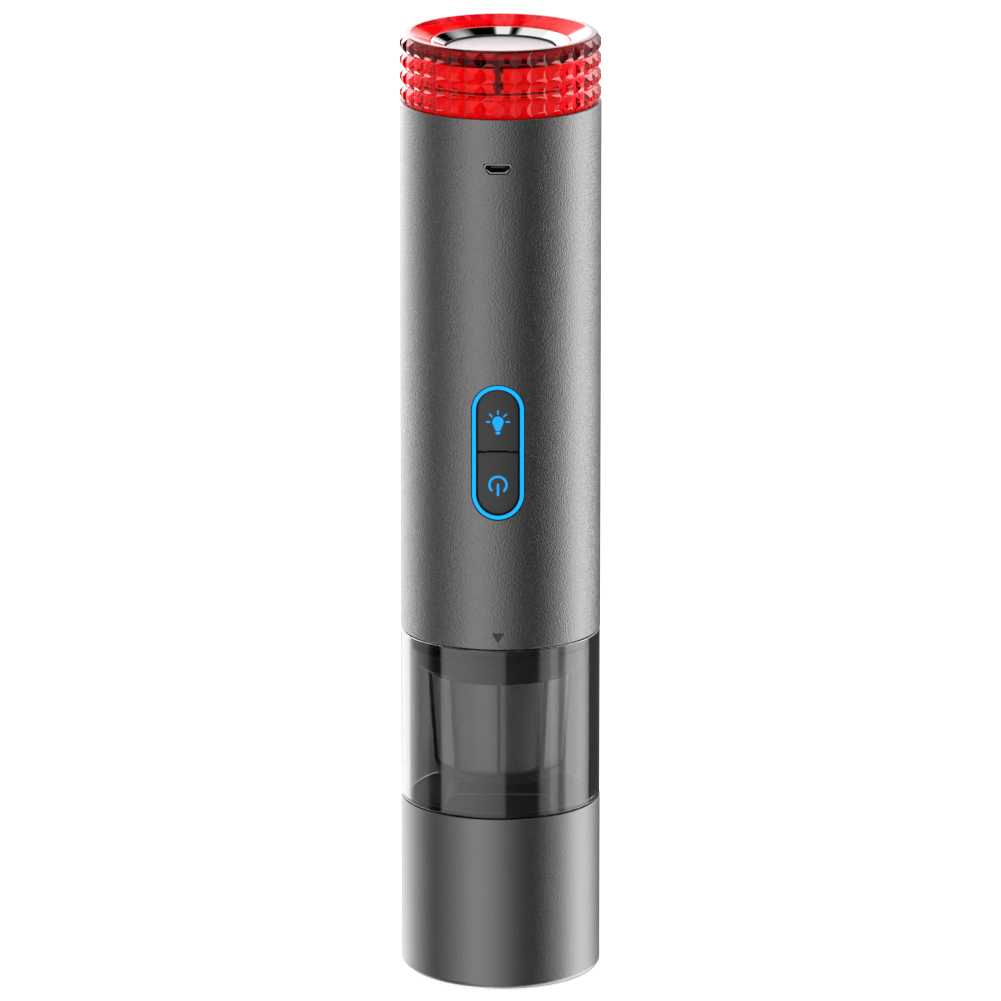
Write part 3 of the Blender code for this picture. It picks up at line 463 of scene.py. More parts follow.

red_look = start_finish("red_lens")
red_x, red_y, red_z = place_in(red_look)
from_axis = (red_x * red_x + red_y * red_y) ** 0.5
# painted shade: the top row of studs is painted dark
painted_shade_top_row = limited((red_z - SHADE_ROW_LEVEL) / 0.2) * from_axis.maths("GREATER_THAN", STUD_FOOT_R)
# painted glow on the funnel inside the lens
painted_funnel_glow = from_axis.maths("LESS_THAN", GLOW_R) * red_z.maths("GREATER_THAN", GLOW_LOW)
red_with_painted_shade = red_look.mixed(painted_shade_top_row, (0.85, 0.004, 0.010), (0.020, 0.002, 0.003))
special_finish(red_look, red_with_painted_shade, 0.01, 6.0, 0.02, 0.004,
               Transmission_Weight=1.0, IOR=1.5, Specular_Tint=(1.0, 0.2, 0.2), Specular_IOR_Level=0.38,
               Emission_Color=red_look.mixed(painted_funnel_glow, BLACK, (0.36, 0.002, 0.004)), Emission_Strength=1.0)

LINER_JOINT, LINER_RIM = 251.4, 259.2  # painted shade lines round the light sleeve, where its painted glow stops
POST_HALF = 1.3  # half the width of a dark post at the sleeve's front, above the joint

liner_look = start_finish("lit_liner")
liner_x, liner_y, liner_z = place_in(liner_look)
behind, below = liner_y.maths("GREATER_THAN", 0.0), liner_z.maths("LESS_THAN", LINER_JOINT)
post = outside(liner_x, 0.0, POST_HALF).maths("MAXIMUM", behind).maths("MAXIMUM", below)
# painted glow: the sleeve is white and glows where this mask is 1; at its joint, its rim and the front strip
# it is painted dark
lit = post * outside(liner_z, LINER_JOINT, 0.26) * outside(liner_z, LINER_RIM, 0.55)
liner_colour_with_glow = liner_look.mixed(lit, (0.02, 0.018, 0.018), (0.85, 0.80, 0.78))
special_finish(liner_look, liner_colour_with_glow, 0.45, 2.0, 0.1, 0.01,
               Emission_Color=liner_look.mixed(lit, BLACK, (1.0, 0.45, 0.40)), Emission_Strength=0.46)

guide_look = start_finish("blue_light_guide")
# the band glows blue on its flush top; its inner walls down into the key recess are painted dark as painted
# shade
shining = painted_faces(guide_look, "shining")
guide_colour_with_wall_shade = guide_look.mixed(shining, (0.020, 0.020, 0.022), (0.004, 0.10, 0.25))
special_finish(guide_look, guide_colour_with_wall_shade, 0.35, 1.5, 0.1, 0.004, Specular_IOR_Level=0.1,
               Emission_Color=guide_look.mixed(shining, BLACK, (0.001, 0.42, 1.0)), Emission_Strength=0.95)
finish("blue_print", (0.004, 0.10, 0.25), 0.45, 0.5, 0.002, 5.0, 0.1, 0.05, Specular_IOR_Level=0.1,
       Emission_Color=(0.001, 0.37, 0.95), Emission_Strength=0.9)
finish("white_emitter", (0.90, 0.80, 0.35), 0.4, 0.3, 0.01,
       Emission_Color=(1.0, 0.95, 0.8), Emission_Strength=1.0)
finish("red_emitter", (0.60, 0.02, 0.02), 0.4, 0.3, 0.01,
       Emission_Color=(1.0, 0.02, 0.02), Emission_Strength=1.5)
print(len(FINISHES), "finishes in all")

# %% [markdown]
# ## Shapes by rings
# Nearly every piece here is a row of outlines joined up: a turned part is a row of circles, a key is a row
# of stadiums, a socket a row of trapezia. So one function joins outlines of equal length into a skin, and
# others only have to say where the outlines lie. Corners are rounded in the profile itself, because a real
# edge is never sharp and its thin highlight is what makes it look solid.

# %% Join outlines into a skin
def new_object(name, mesh):
    """Put a mesh in the scene."""
    made = bpy.data.objects.new(name, mesh)
    bpy.context.scene.collection.objects.link(made)
    return made


def tidy(mesh, crease=32.0):
    """Merge doubles, turn the faces outwards and shade smooth up to the crease angle."""
    grid = bmesh.new()
    grid.from_mesh(mesh)
    bmesh.ops.remove_doubles(grid, verts=grid.verts, dist=0.002 * MM)
    bmesh.ops.dissolve_degenerate(grid, edges=grid.edges, dist=0.001 * MM)
    bmesh.ops.recalc_face_normals(grid, faces=grid.faces)
    grid.to_mesh(mesh)
    grid.free()
    mesh.shade_smooth()
    mesh.set_sharp_from_angle(angle=math.radians(crease))
    return mesh


def skin(name, points, faces, crease=32.0):
    """An object from points in millimetres and faces."""
    mesh = bpy.data.meshes.new(name)
    mesh.from_pydata([tuple(value * MM for value in point) for point in points], [], faces)
    return new_object(name, tidy(mesh, crease))


def lattice(rows, width, start=0):
    """Faces between rows of points, each this many points wide."""
    corners = [start + row * width + column for row in range(rows - 1) for column in range(width - 1)]
    return [(corner, corner + 1, corner + width + 1, corner + width) for corner in corners]


def joined(name, outlines, ends="closed", crease=32.0):
    """Skin over a row of closed outlines. Ends are 'capped', or 'closed' when the last meets the first."""
    count = len(outlines[0])
    rows = len(outlines)
    faces = []
    for row in range(rows if ends == "closed" else rows - 1):
        start, after = row * count, (row + 1) % rows * count
        for column in range(count):
            beside = (column + 1) % count
            faces.append((start + column, start + beside, after + beside, after + column))
    if ends == "capped":
        faces.append(tuple(range(count))[::-1])
        faces.append(tuple((rows - 1) * count + column for column in range(count)))
    return skin(name, [point for outline in outlines for point in outline], faces, crease)


def rounded(corners, steps=4):
    """A profile with each (across, up, radius) corner rounded; the ends stay as they are."""
    points = []
    last = len(corners) - 1
    for index, (across, up, radius) in enumerate(corners):
        here = Vector((across, up))
        if radius == 0 or index in (0, last):
            points.append(here)
            continue
        to_before = (Vector(corners[index - 1][:2]) - here).normalized()
        to_after = (Vector(corners[index + 1][:2]) - here).normalized()
        half = to_before.angle(to_after) / 2
        reach = radius / math.tan(half)
        centre = here + (to_before + to_after).normalized() * (radius / math.sin(half))
        start, end = here + to_before * reach - centre, here + to_after * reach - centre
        for step in range(steps + 1):
            share = step / steps
            points.append(centre + (start * (1 - share) + end * share).normalized() * radius)
    return [(point.x, point.y) for point in points]


def rounded_loop(corners, steps):
    """The same for a profile that closes on its first corner, which lies on a straight run."""
    return rounded([*corners, corners[0]], steps)[:-1]


def turned(name, profile, sides=160, crease=32.0):
    """Turn a profile of (radius, height) about Z. It's closed to a loop unless both ends are on the axis."""
    on_axis = profile[0][0] == 0.0 and profile[-1][0] == 0.0
    turns = [math.tau * step / sides for step in range(sides)]
    circles = [[(radius * math.cos(turn), radius * math.sin(turn), height) for turn in turns]
               for radius, height in profile]
    return joined(name, circles, "open" if on_axis else "closed", crease)


# %% Outlines on the front, and a prism of them
def arc(centre, radius, start, end, steps):
    """Points on an arc, angles in degrees."""
    turns = [math.radians(start + (end - start) * step / steps) for step in range(steps + 1)]
    return [(centre[0] + radius * math.cos(turn), centre[1] + radius * math.sin(turn)) for turn in turns]


def rounded_rectangle(width, height, radius, centre=(0.0, 0.0), steps=8):
    """A rectangle with round corners, always with the same number of points."""
    reach_x, reach_y = width / 2 - radius, height / 2 - radius
    points = []
    for side_x, side_y, start in ((1, 1, 0), (-1, 1, 90), (-1, -1, 180), (1, -1, 270)):
        middle = (centre[0] + side_x * reach_x, centre[1] + side_y * reach_y)
        points += arc(middle, radius, start, start + 90, steps)
    return points


def stadium(width, height, centre_z, steps=12):
    """A stadium that stands upright, with a hair of flat at its ends so that no points coincide."""
    return rounded_rectangle(width, height, width / 2 - 0.01, (0.0, centre_z), steps)


def upright(outline, depth):
    """A flat outline, stood up at this depth along Y."""
    return [(across, depth, up) for across, up in outline]


def flat(outline, height):
    """A flat outline, laid at this height."""
    return [(across, along, height) for across, along in outline]


def on_tube(outline, radius):
    """A flat outline laid on the front of a tube of this radius."""
    return [(across, -math.sqrt(radius ** 2 - across ** 2), up) for across, up in outline]


def prism(outline, place, start, end):
    """A straight solid of one outline, laid or stood up."""
    return joined("prism", [place(outline, start), place(outline, end)], "capped")


def bore(middle, radius, low, high):
    """A round solid along Z."""
    circle = [(middle.x + x, middle.y + y) for x, y in arc((0, 0), radius, 0, 352.5, 47)]
    return prism(circle, flat, low, high)


# %% Cut, merge and finish a piece
def baked(part):
    """Apply every modifier by making the evaluated mesh the object's own."""
    bpy.context.view_layer.update()
    seen = part.evaluated_get(bpy.context.evaluated_depsgraph_get())
    mesh = bpy.data.meshes.new_from_object(seen)
    part.modifiers.clear()
    part.data = mesh
    return part


def modified(part, kind, **settings):
    """Add a modifier with these settings and apply it at once."""
    modifier = part.modifiers.new(kind.lower(), kind)
    for key, value in settings.items():
        setattr(modifier, key, value)
    return baked(part)


def eased(part, width, angle=None):
    """Bevel the edges, all of them or those sharper than an angle in degrees."""
    limit = {"limit_method": "ANGLE", "angle_limit": math.radians(angle)} if angle else {}
    return modified(part, "BEVEL", width=width * MM, segments=2, **limit)


def combined(part, operation, tools):
    """Boolean the part with each tool, then throw the tools away."""
    for tool in tools:
        boolean = part.modifiers.new(tool.name, "BOOLEAN")
        boolean.operation, boolean.object, boolean.solver = operation, tool, "EXACT"
    baked(part)
    for tool in tools:
        bpy.data.objects.remove(tool)
    return part


def merged(name, *parts):
    """Several meshes as one object."""
    grid = bmesh.new()
    for part in parts:
        grid.from_mesh(part.data)
        bpy.data.objects.remove(part)
    mesh = bpy.data.meshes.new(name)
    grid.to_mesh(mesh)
    grid.free()
    mesh.shade_smooth()
    mesh.set_sharp_from_angle(angle=math.radians(32.0))
    return new_object(name, mesh)


def paint_faces(part, name, rule):
    """Give each face a value for its finish, worked out from its middle in millimetres and its normal."""
    values = part.data.attributes.new(name, "FLOAT", "FACE").data
    for face in part.data.polygons:
        values[face.index].value = rule(face.center / MM, face.normal)


def shade_as_tube(part, limit=0.97):
    """Give every wall that faces straight out from Z the true round normal, so that cuts leave no facets."""
    mesh = part.data
    mesh.shade_smooth()
    normals = []
    for face in mesh.polygons:
        for corner in face.loop_indices:
            point = mesh.vertices[mesh.loops[corner].vertex_index].co
            out = Vector((point.x, point.y, 0.0)).normalized()
            facing = out.dot(face.normal)
            normals.append(out * math.copysign(1.0, facing) if abs(facing) > limit else face.normal.copy())
    mesh.normals_split_custom_set(normals)
    return part


def fit(part, body, material, *nodes, slot=None):
    """Paint a finished piece, let it ride on its body and hide the nodes it stands for."""
    if not part.data.has_custom_normals:
        modified(part, "WEIGHTED_NORMAL", keep_sharp=True)  # so that large faces stay flat
    part.data.materials.clear()
    part.data.materials.append(FINISHES[material])
    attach(part, body)
    if nodes:
        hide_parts(*nodes)
    corners = [Vector(corner) for corner in part.bound_box]
    size = " x ".join(f"{(max(axis) - min(axis)) / MM:.1f}" for axis in zip(*corners))
    print(f"{part.name}: {len(part.data.polygons)} faces, {size} mm on {body}")
    return part


# %% [markdown]
# ## Rules for what repeats
# Studs, ribs, wires, slots and screws repeat by a rule, so Geometry Nodes make them: change one number and
# the whole row follows. Each rule is a small tree with named inputs. The result is turned into a plain mesh
# at once, because instances don't survive an export.

# %% Build and run a Geometry Nodes rule
KINDS = {float: "NodeSocketFloat", int: "NodeSocketInt"}


def make_rule(name, inputs, build):
    """A tree with named inputs; build adds the nodes and returns the geometry."""
    tree = bpy.data.node_groups.new(name, "GeometryNodeTree")
    nodes = Nodes(tree)
    tree.interface.new_socket("Geometry", in_out="OUTPUT", socket_type="NodeSocketGeometry")
    tree.interface.new_socket("Geometry", in_out="INPUT", socket_type="NodeSocketGeometry")
    for label, value in inputs.items():
        kind = KINDS.get(type(value), "NodeSocketObject")
        tree.interface.new_socket(label, in_out="INPUT", socket_type=kind)
    tree.interface.new_socket("Finish", in_out="INPUT", socket_type="NodeSocketMaterial")
    entry = tree.nodes.new("NodeGroupInput")
    taken = {output.name: Socket(tree, output) for output in entry.outputs if output.name}
    shape = build(nodes, taken)
    real = nodes.add("GeometryNodeRealizeInstances", None, {"Geometry": shape})
    painted = nodes.add("GeometryNodeSetMaterial", None, {"Geometry": real, "Material": taken["Finish"]})
    nodes.add("NodeGroupOutput", None, {"Geometry": painted})
    return tree


def run_rule(name, build, inputs, material, base=None, crease=32.0):
    """Make the rule, give its inputs by identifier, evaluate it once and keep the plain mesh."""
    tree = make_rule(name, inputs, build)
    part = new_object(name, base.data if base else bpy.data.meshes.new(name))
    modifier = part.modifiers.new(name, "NODES")
    modifier.node_group = tree
    values = dict(inputs, Finish=FINISHES[material])
    for item in tree.interface.items_tree:
        if item.in_out == "INPUT" and item.name in values:
            modifier[item.identifier] = values[item.name]
    baked(part)
    if base:
        bpy.data.objects.remove(base)
    part.data.materials.clear()
    part.data.shade_smooth()
    part.data.set_sharp_from_angle(angle=math.radians(crease))
    print(f"rule {name}: {len(part.data.polygons)} faces")
    return part


def around(nodes, thing, count, radius, height, start=0.0):
    """Instances of a thing on a circle, each turned with it; the thing's +X points outwards."""
    circle = nodes.add("GeometryNodeMeshCircle", None, {"Vertices": count, "Radius": radius * MM})
    points = nodes.moved(circle, (0.0, 0.0, height * MM), (0.0, 0.0, math.radians(start)))
    turn = nodes.vector(Z=nodes.add("GeometryNodeInputIndex") / count * math.tau + math.radians(start))
    values = {"Points": points, "Instance": thing, "Rotation": turn}
    return nodes.add("GeometryNodeInstanceOnPoints", None, values)


def instance_of(nodes, thing):
    """An object as an instance that can be repeated."""
    return nodes.add("GeometryNodeObjectInfo", None, {"Object": thing, "As Instance": True}, output=4)


print("rule tools ready")

# %% [markdown]
# ## Nozzle and barrel
# Both are one aluminium tube to the eye, cut by two thin joints. The nozzle has a bottom plate with the
# mouth and three screw recesses; the barrel has the key opening, the socket opening and two rows of exhaust
# slots at its back. A turned wall with Boolean cuts gives real holes. A cut leaves long thin faces, so the
# wall then gets its exact round normals back.

# %% Nozzle housing
DUCT_LOW, DUCT_HIGH = span("intake_duct")
DUCT_Y = (DUCT_LOW.y + DUCT_HIGH.y) / 2
DUCT_WIDTH, DUCT_DEPTH = DUCT_HIGH.x - DUCT_LOW.x, DUCT_HIGH.y - DUCT_LOW.y
DUCT_WALL = 1.2
SHELL_WALL = 1.6
BASE_THICK = 3.0
CORNER_R = 3.0
SCREWS = [sum(span(f"nozzle_screw_{number}"), Vector()) / 2 for number in (1, 2, 3)]
SCREW_RECESS_R, SCREW_CLEAR_R, SCREW_PILOT_R, POST_R = 3.1, 1.7, 1.6, 3.4

nozzle = turned("nozzle_shell", rounded([
    (0.0, BASE_THICK, 0), (BODY_R - SHELL_WALL, BASE_THICK, 0.5), (BODY_R - SHELL_WALL, NOZZLE_HIGH, 0.2),
    (BODY_R, NOZZLE_HIGH, 0.2), (BODY_R, NOZZLE_LOW, 2.0), (0.0, NOZZLE_LOW, 0)], 6), 192)
mouth = rounded_rectangle(DUCT_WIDTH - 2 * DUCT_WALL, DUCT_DEPTH - 2 * DUCT_WALL, CORNER_R, (0.0, DUCT_Y))
recesses = [bore(place, SCREW_RECESS_R, -1.0, 1.9) for place in SCREWS]
clearances = [bore(place, SCREW_CLEAR_R, 1.0, 5.0) for place in SCREWS]
combined(nozzle, "DIFFERENCE", [prism(mouth, flat, -1.0, BASE_THICK + 1.0), *recesses, *clearances])
grid = bmesh.new()  # faces in one plane become one face, so that the bevel runs evenly round each opening
grid.from_mesh(nozzle.data)
bmesh.ops.dissolve_limit(grid, angle_limit=math.radians(0.5), verts=grid.verts, edges=grid.edges)
grid.to_mesh(nozzle.data)
grid.free()
eased(nozzle, 0.12, 60)
tidy(nozzle.data)
fit(nozzle, "dust_cup_unit", "fine_alloy", "nozzle_housing", slot="grey_alloy")

# %% Exhaust slots, as one rule that makes the cutters
SLOT_ROWS = (136.0, 152.0)
SLOT_SIZE = (2.2, 12.0)
SLOTS_IN_ROW = 6
SLOT_PITCH = 15.0


def slot_rows(nodes, given):
    """Slots on the back of the tube, in rows."""
    line = nodes.add("GeometryNodeMeshLine", {"mode": "OFFSET"}, {
        "Count": given["Slots"], "Start Location": (0.0, 0.0, 0.0), "Offset": (0.0, 0.0, 0.0)})
    place_in_row = nodes.add("GeometryNodeInputIndex") - (given["Slots"] - 1) / 2
    turn = nodes.vector(Z=place_in_row * given["Pitch"] * math.radians(1.0))
    row = nodes.add("GeometryNodeInstanceOnPoints", None, {
        "Points": line, "Instance": instance_of(nodes, given["Cutter"]), "Rotation": turn})
    return nodes.gathered([nodes.moved(row, (0.0, 0.0, level * MM)) for level in SLOT_ROWS])


slot_outline = rounded_rectangle(SLOT_SIZE[0], SLOT_SIZE[1], SLOT_SIZE[0] / 2 - 0.01, (0.0, 0.0), 5)
one_slot = prism(slot_outline, upright, 20.0, 32.0)
slots = run_rule("exhaust_slots", slot_rows, {"Cutter": one_slot, "Slots": SLOTS_IN_ROW, "Pitch": SLOT_PITCH},
                 "black_plastic")
bpy.data.objects.remove(one_slot)

# %% Barrel
SURROUND_WIDTH, SURROUND_HEIGHT = 14.1, KEYS_HIGH - KEYS_LOW - 0.3
JOINT = 0.3
BARREL_BORE = 26.0
SOCKET_HALF = span("socket_shell")[1].x
SOCKET_SLANT = 1.25


def socket_outline(grow=0.0):
    """Charging socket: flat top, short upright sides, slanted lower corners."""
    middle = (SOCKET_LOW + SOCKET_HIGH) / 2
    half, reach = SOCKET_HALF + grow, (SOCKET_HIGH - SOCKET_LOW) / 2 + grow
    foot = half - SOCKET_SLANT
    corners = [(half - 0.3, middle + reach), (half, middle + reach - 0.3), (half, middle + reach - 0.9),
               (foot, middle - reach + 0.2), (foot - 0.25, middle - reach)]
    return corners + [(-across, up) for across, up in corners[::-1]]


sleeve = turned("barrel_sleeve", rounded_loop([
    (BODY_R - 0.8, BARREL_HIGH, 0), (BODY_R, BARREL_HIGH, 0.25), (BODY_R, BARREL_LOW, 0.25),
    (BARREL_BORE, BARREL_LOW, 0.15), (BARREL_BORE, BARREL_HIGH, 0.15)], 4), 192)
key_hole = stadium(SURROUND_WIDTH + 2 * JOINT, SURROUND_HEIGHT + 2 * JOINT, KEYS_Z)
through_front = [prism(outline, upright, -32.0, -20.0) for outline in (key_hole, socket_outline(0.25))]
combined(sleeve, "DIFFERENCE", [*through_front, slots])
shade_as_tube(sleeve)
fit(sleeve, "main_body", "grey_alloy", "barrel")

# %% [markdown]
# ## Dust cup and its floor
# The cup is a plain smoked tube with polished edges. Its floor is a black disc with a fine step at the
# edge, the raised hood of the intake, and posts for the screws below. The hood's rounded rim is built as a
# row of outlines that shrink at the front, and it and the step's edges carry a painted highlight.

# %% Cup tube
CUP_BORE = 25.2
cup = turned("cup_tube", rounded_loop([
    (CUP_R - 1.0, CUP_HIGH, 0), (CUP_R, CUP_HIGH, 0.35), (CUP_R, CUP_LOW, 0.35), (CUP_BORE, CUP_LOW, 0.3),
    (CUP_BORE, CUP_HIGH, 0.3)], 4), 192)
fit(cup, "dust_cup_unit", "smoked_clear", "dust_cup")

# %% Cup floor with the hood of the intake
FLOOR_Z = 50.0
FLOOR_UNDER = 47.6
HOOD_TOP = heights("floor_plate")[1]
HOOD_ROUND = 3.4
LIP_R = BODY_R - SHELL_WALL - JOINT
LIP_LOW, LIP_HIGH = 45.6, 48.4
GROOVE_DEPTH, GROOVE_IN, GROOVE_OUT = 0.35, 23.6, 24.35

floor_disc = turned("floor_disc", rounded([
    (0.0, FLOOR_Z, 0), (GROOVE_IN, FLOOR_Z, 0.1), (GROOVE_IN + 0.2, FLOOR_Z - GROOVE_DEPTH, 0.1),
    (GROOVE_OUT - 0.15, FLOOR_Z - GROOVE_DEPTH, 0.1), (GROOVE_OUT, FLOOR_Z, 0.1),
    (CUP_BORE - JOINT, FLOOR_Z, 0.25), (CUP_BORE - JOINT, LIP_HIGH, 0.1), (LIP_R, LIP_HIGH, 0.2),
    (LIP_R, LIP_LOW, 0.2), (LIP_R - 1.6, LIP_LOW, 0.2), (LIP_R - 1.6, FLOOR_UNDER, 0.2),
    (0.0, FLOOR_UNDER, 0)], 4), 192)
hood_front, hood_back = DUCT_LOW.y - 0.5, DUCT_HIGH.y + 0.5


def hood_outline(inset):
    """The hood seen from the front, shrunk by the inset except at its foot."""
    half, top, turn = DUCT_WIDTH / 2 - inset, HOOD_TOP - inset, HOOD_ROUND - inset
    return [(-half, FLOOR_Z - 1.0), (half, FLOOR_Z - 1.0), *arc((half - turn, top - turn), turn, 0, 90, 10),
            *arc((turn - half, top - turn), turn, 90, 180, 10)]


EDGE = 0.45
edge_turns = [math.radians(22.5 * step) for step in range(5)]
edge_steps = [(EDGE * (1 - math.cos(turn)), EDGE * (1 - math.sin(turn))) for turn in edge_turns]
hood_rows = [upright(hood_outline(inset), hood_front + push) for push, inset in edge_steps]
hood_rows += [upright(hood_outline(inset), hood_back - push) for push, inset in edge_steps[::-1]]
hood = joined("hood", hood_rows, "capped")
posts = [bore(place, POST_R, BASE_THICK + JOINT, FLOOR_UNDER + 1) for place in SCREWS]
combined(floor_disc, "UNION", [hood, *posts])
throat = rounded_rectangle(DUCT_WIDTH - 5.0, DUCT_DEPTH - 2 * DUCT_WALL, CORNER_R, (0.0, DUCT_Y))
pilots = [bore(place, SCREW_PILOT_R, 0.0, 16.0) for place in SCREWS]
combined(floor_disc, "DIFFERENCE", [prism(throat, flat, 40.0, 60.0), *pilots])
tidy(floor_disc.data)
floor_disc.name = "cup_floor"


def painted_rim_highlight(middle, normal):
    """A painted highlight on the hood's rounded rim, and one half as bright on the edges of the groove."""
    along_hood = hood_front - 0.01 < middle.y < hood_front + EDGE and middle.z > FLOOR_Z + 0.3
    leaning = abs(normal.y) > 0.05 and max(abs(normal.z), abs(normal.x)) > 0.05
    at_groove = GROOVE_IN - 0.1 < math.hypot(middle.x, middle.y) < GROOVE_OUT + 0.05
    in_groove = at_groove and middle.z > FLOOR_Z - GROOVE_DEPTH + 0.01
    return 1.0 if along_hood and leaning else 0.5 if in_groove else 0.0


# painted highlight on the hood's rim and the groove's edges
paint_faces(floor_disc, "bead", painted_rim_highlight)
fit(floor_disc, "dust_cup_unit", "floor_black", "floor_plate", slot="black_plastic")

# %% [markdown]
# ## Filter
# A dark collar hangs the filter in the cup. Below it a tapered cage of nine ribs holds wire cloth, and
# inside that sits a folded paper filter. The ribs, the two sets of wires and the folds all repeat, so each
# is a rule.

# %% Collar with its lugs, and the seal
COLLAR_R, COLLAR_BORE = 22.8, 20.9
COLLAR_LOW, COLLAR_HIGH = heights("filter_collar")
FLANGE_R = 24.9
LUG_R = 24.7
FLANGE_LOW, FLANGE_HIGH = 92.4, 99.0
SEAL_LOW, SEAL_HIGH, SEAL_BED_R = 93.2, 95.0, 23.4
LUG_LOW, LUG_HIGH, LUG_SPREAD = 104.7, 106.9, 16.0

collar = turned("collar", rounded_loop([
    (COLLAR_R, 103.0, 0), (COLLAR_R, FLANGE_HIGH, 0.2), (FLANGE_R, FLANGE_HIGH, 0.25),
    (FLANGE_R, SEAL_HIGH, 0.15), (SEAL_BED_R, SEAL_HIGH, 0.1), (SEAL_BED_R, SEAL_LOW, 0.1),
    (FLANGE_R - 0.2, SEAL_LOW, 0.15),
    (FLANGE_R - 0.2, FLANGE_LOW, 0.25), (COLLAR_R, FLANGE_LOW, 0.2), (COLLAR_R, COLLAR_LOW, 1.5),
    (COLLAR_BORE, COLLAR_LOW, 0.3), (COLLAR_BORE, COLLAR_HIGH, 0.3), (COLLAR_R, COLLAR_HIGH, 0.3)], 5), 160)


def sector(inner, outer, middle, spread, steps=10):
    """A piece of a ring, seen from above."""
    low, high = middle - spread / 2, middle + spread / 2
    return arc((0, 0), outer, low, high, steps) + arc((0, 0), inner, high, low, steps)


def lugs_around(nodes, given):
    """One lug, repeated round the axis."""
    return around(nodes, instance_of(nodes, given["Lug"]), given["Count"], 0.0, 0.0, 90.0)


one_lug = prism(sector(COLLAR_R - 0.6, LUG_R, 0.0, LUG_SPREAD), flat, LUG_LOW, LUG_HIGH)
lugs = run_rule("bayonet_lugs", lugs_around, {"Lug": one_lug, "Count": 3}, "dark_plastic")
bpy.data.objects.remove(one_lug)
GRIP_SPREAD = 25.0
grip_levels = ((88.9, 0.0), (89.2, 0.5), (91.3, 0.5), (91.6, 0.0))  # height, and how far the grip stands out
grip_rows = [flat(sector(COLLAR_R - 0.6, COLLAR_R + out, -90.0, GRIP_SPREAD + 2 * out), level)
             for level, out in grip_levels]
grip = joined("grip", grip_rows, "capped")
collar = merged("filter_collar_ring", collar, lugs, grip)
fit(collar, "filter_unit", "dark_plastic", "filter_collar")

seal = turned("seal_ring", arc((24.25, (SEAL_LOW + SEAL_HIGH) / 2), 0.7, 0, 345, 23), 160)
fit(seal, "filter_unit", "black_rubber", "cup_seal")

# %% Cage
CAGE_FOOT = heights("filter_cage")[0]
CAGE_RING = 2.9
CAGE_TOP_R, CAGE_FOOT_R, CAGE_WALL = 20.2, 18.3, 1.0
RIB_COUNT, RIB_WIDTH = 9, 1.0
ring_top, rib_top = CAGE_FOOT + CAGE_RING, COLLAR_LOW - 0.2
taper = math.atan2(CAGE_TOP_R - CAGE_FOOT_R, rib_top - ring_top)


def cage_ribs(nodes, given):
    """Upright bars on a circle, leaning out to follow the cone."""
    length = rib_top - ring_top + 1.2
    bar = nodes.add("GeometryNodeMeshCube", None, {"Size": (CAGE_WALL * MM, RIB_WIDTH * MM, length * MM)})
    leaning = nodes.moved(bar, turn=(0.0, taper, 0.0))
    middle_r = (CAGE_TOP_R + CAGE_FOOT_R) / 2 - CAGE_WALL / 2
    return around(nodes, leaning, given["Ribs"], middle_r, (rib_top + ring_top) / 2, -90.0)


ribs = run_rule("cage_ribs", cage_ribs, {"Ribs": RIB_COUNT}, "dark_plastic")
eased(ribs, 0.18)
foot = turned("cage_foot", rounded([
    (0.0, CAGE_FOOT + 1.2, 0), (CAGE_FOOT_R - CAGE_WALL, CAGE_FOOT + 1.2, 0.3),
    (CAGE_FOOT_R - CAGE_WALL, ring_top, 0.2), (CAGE_FOOT_R, ring_top, 0.3), (CAGE_FOOT_R, CAGE_FOOT, 0.6),
    (0.0, CAGE_FOOT, 0)], 4), 144)
head = turned("cage_head", rounded_loop([
    (19.9, 90.0, 0), (COLLAR_BORE - JOINT, 92.0, 0.1), (CAGE_TOP_R - 0.6, 92.0, 0.1),
    (CAGE_TOP_R - CAGE_WALL - 0.1, rib_top - 0.8, 0.1), (CAGE_TOP_R - 0.05, rib_top - 0.8, 0.1)], 2), 144)
fit(merged("cage", ribs, foot, head), "filter_unit", "dark_plastic", "filter_cage")

# %% Wire cloth
CLOTH_LOW, CLOTH_HIGH = heights("filter_mesh")
CLOTH_TOP_R, CLOTH_FOOT_R = CAGE_TOP_R - CAGE_WALL - 0.4, CAGE_FOOT_R - CAGE_WALL - 0.4


def wire_cloth(nodes, given):
    """Upright wires on a cone and hoops across them."""
    middle_r, middle_z = (CLOTH_TOP_R + CLOTH_FOOT_R) / 2, (CLOTH_LOW + CLOTH_HIGH) / 2
    slope = math.atan2(CLOTH_TOP_R - CLOTH_FOOT_R, CLOTH_HIGH - CLOTH_LOW)
    thread = nodes.add("GeometryNodeMeshCylinder", {"fill_type": "NONE"}, {
        "Vertices": 4, "Radius": given["Wire"], "Depth": (CLOTH_HIGH - CLOTH_LOW) * MM})
    leaning = nodes.moved(thread, turn=(0.0, slope, 0.0))
    uprights = around(nodes, leaning, given["Uprights"], middle_r, middle_z)
    section = nodes.add("GeometryNodeCurvePrimitiveCircle", None, {"Resolution": 3, "Radius": given["Wire"]})
    hoop_line = nodes.add("GeometryNodeCurvePrimitiveCircle", None, {"Resolution": 72, "Radius": 1.0 * MM})
    stack = nodes.add("GeometryNodeMeshLine", {"mode": "END_POINTS"}, {
        "Count": given["Hoops"], "Start Location": (0.0, 0.0, CLOTH_LOW * MM),
        "Offset": (0.0, 0.0, CLOTH_HIGH * MM)})
    share = nodes.add("GeometryNodeInputIndex") / (given["Hoops"] - 1)
    width = share * (CLOTH_TOP_R - CLOTH_FOOT_R) + CLOTH_FOOT_R
    hoops = nodes.add("GeometryNodeInstanceOnPoints", None, {
        "Points": stack, "Instance": hoop_line, "Scale": nodes.vector(X=width, Y=width, Z=1.0)})
    loose = nodes.add("GeometryNodeRealizeInstances", None, {"Geometry": hoops})
    tubes = nodes.add("GeometryNodeCurveToMesh", None, {"Curve": loose, "Profile Curve": section})
    return nodes.gathered([uprights, tubes])


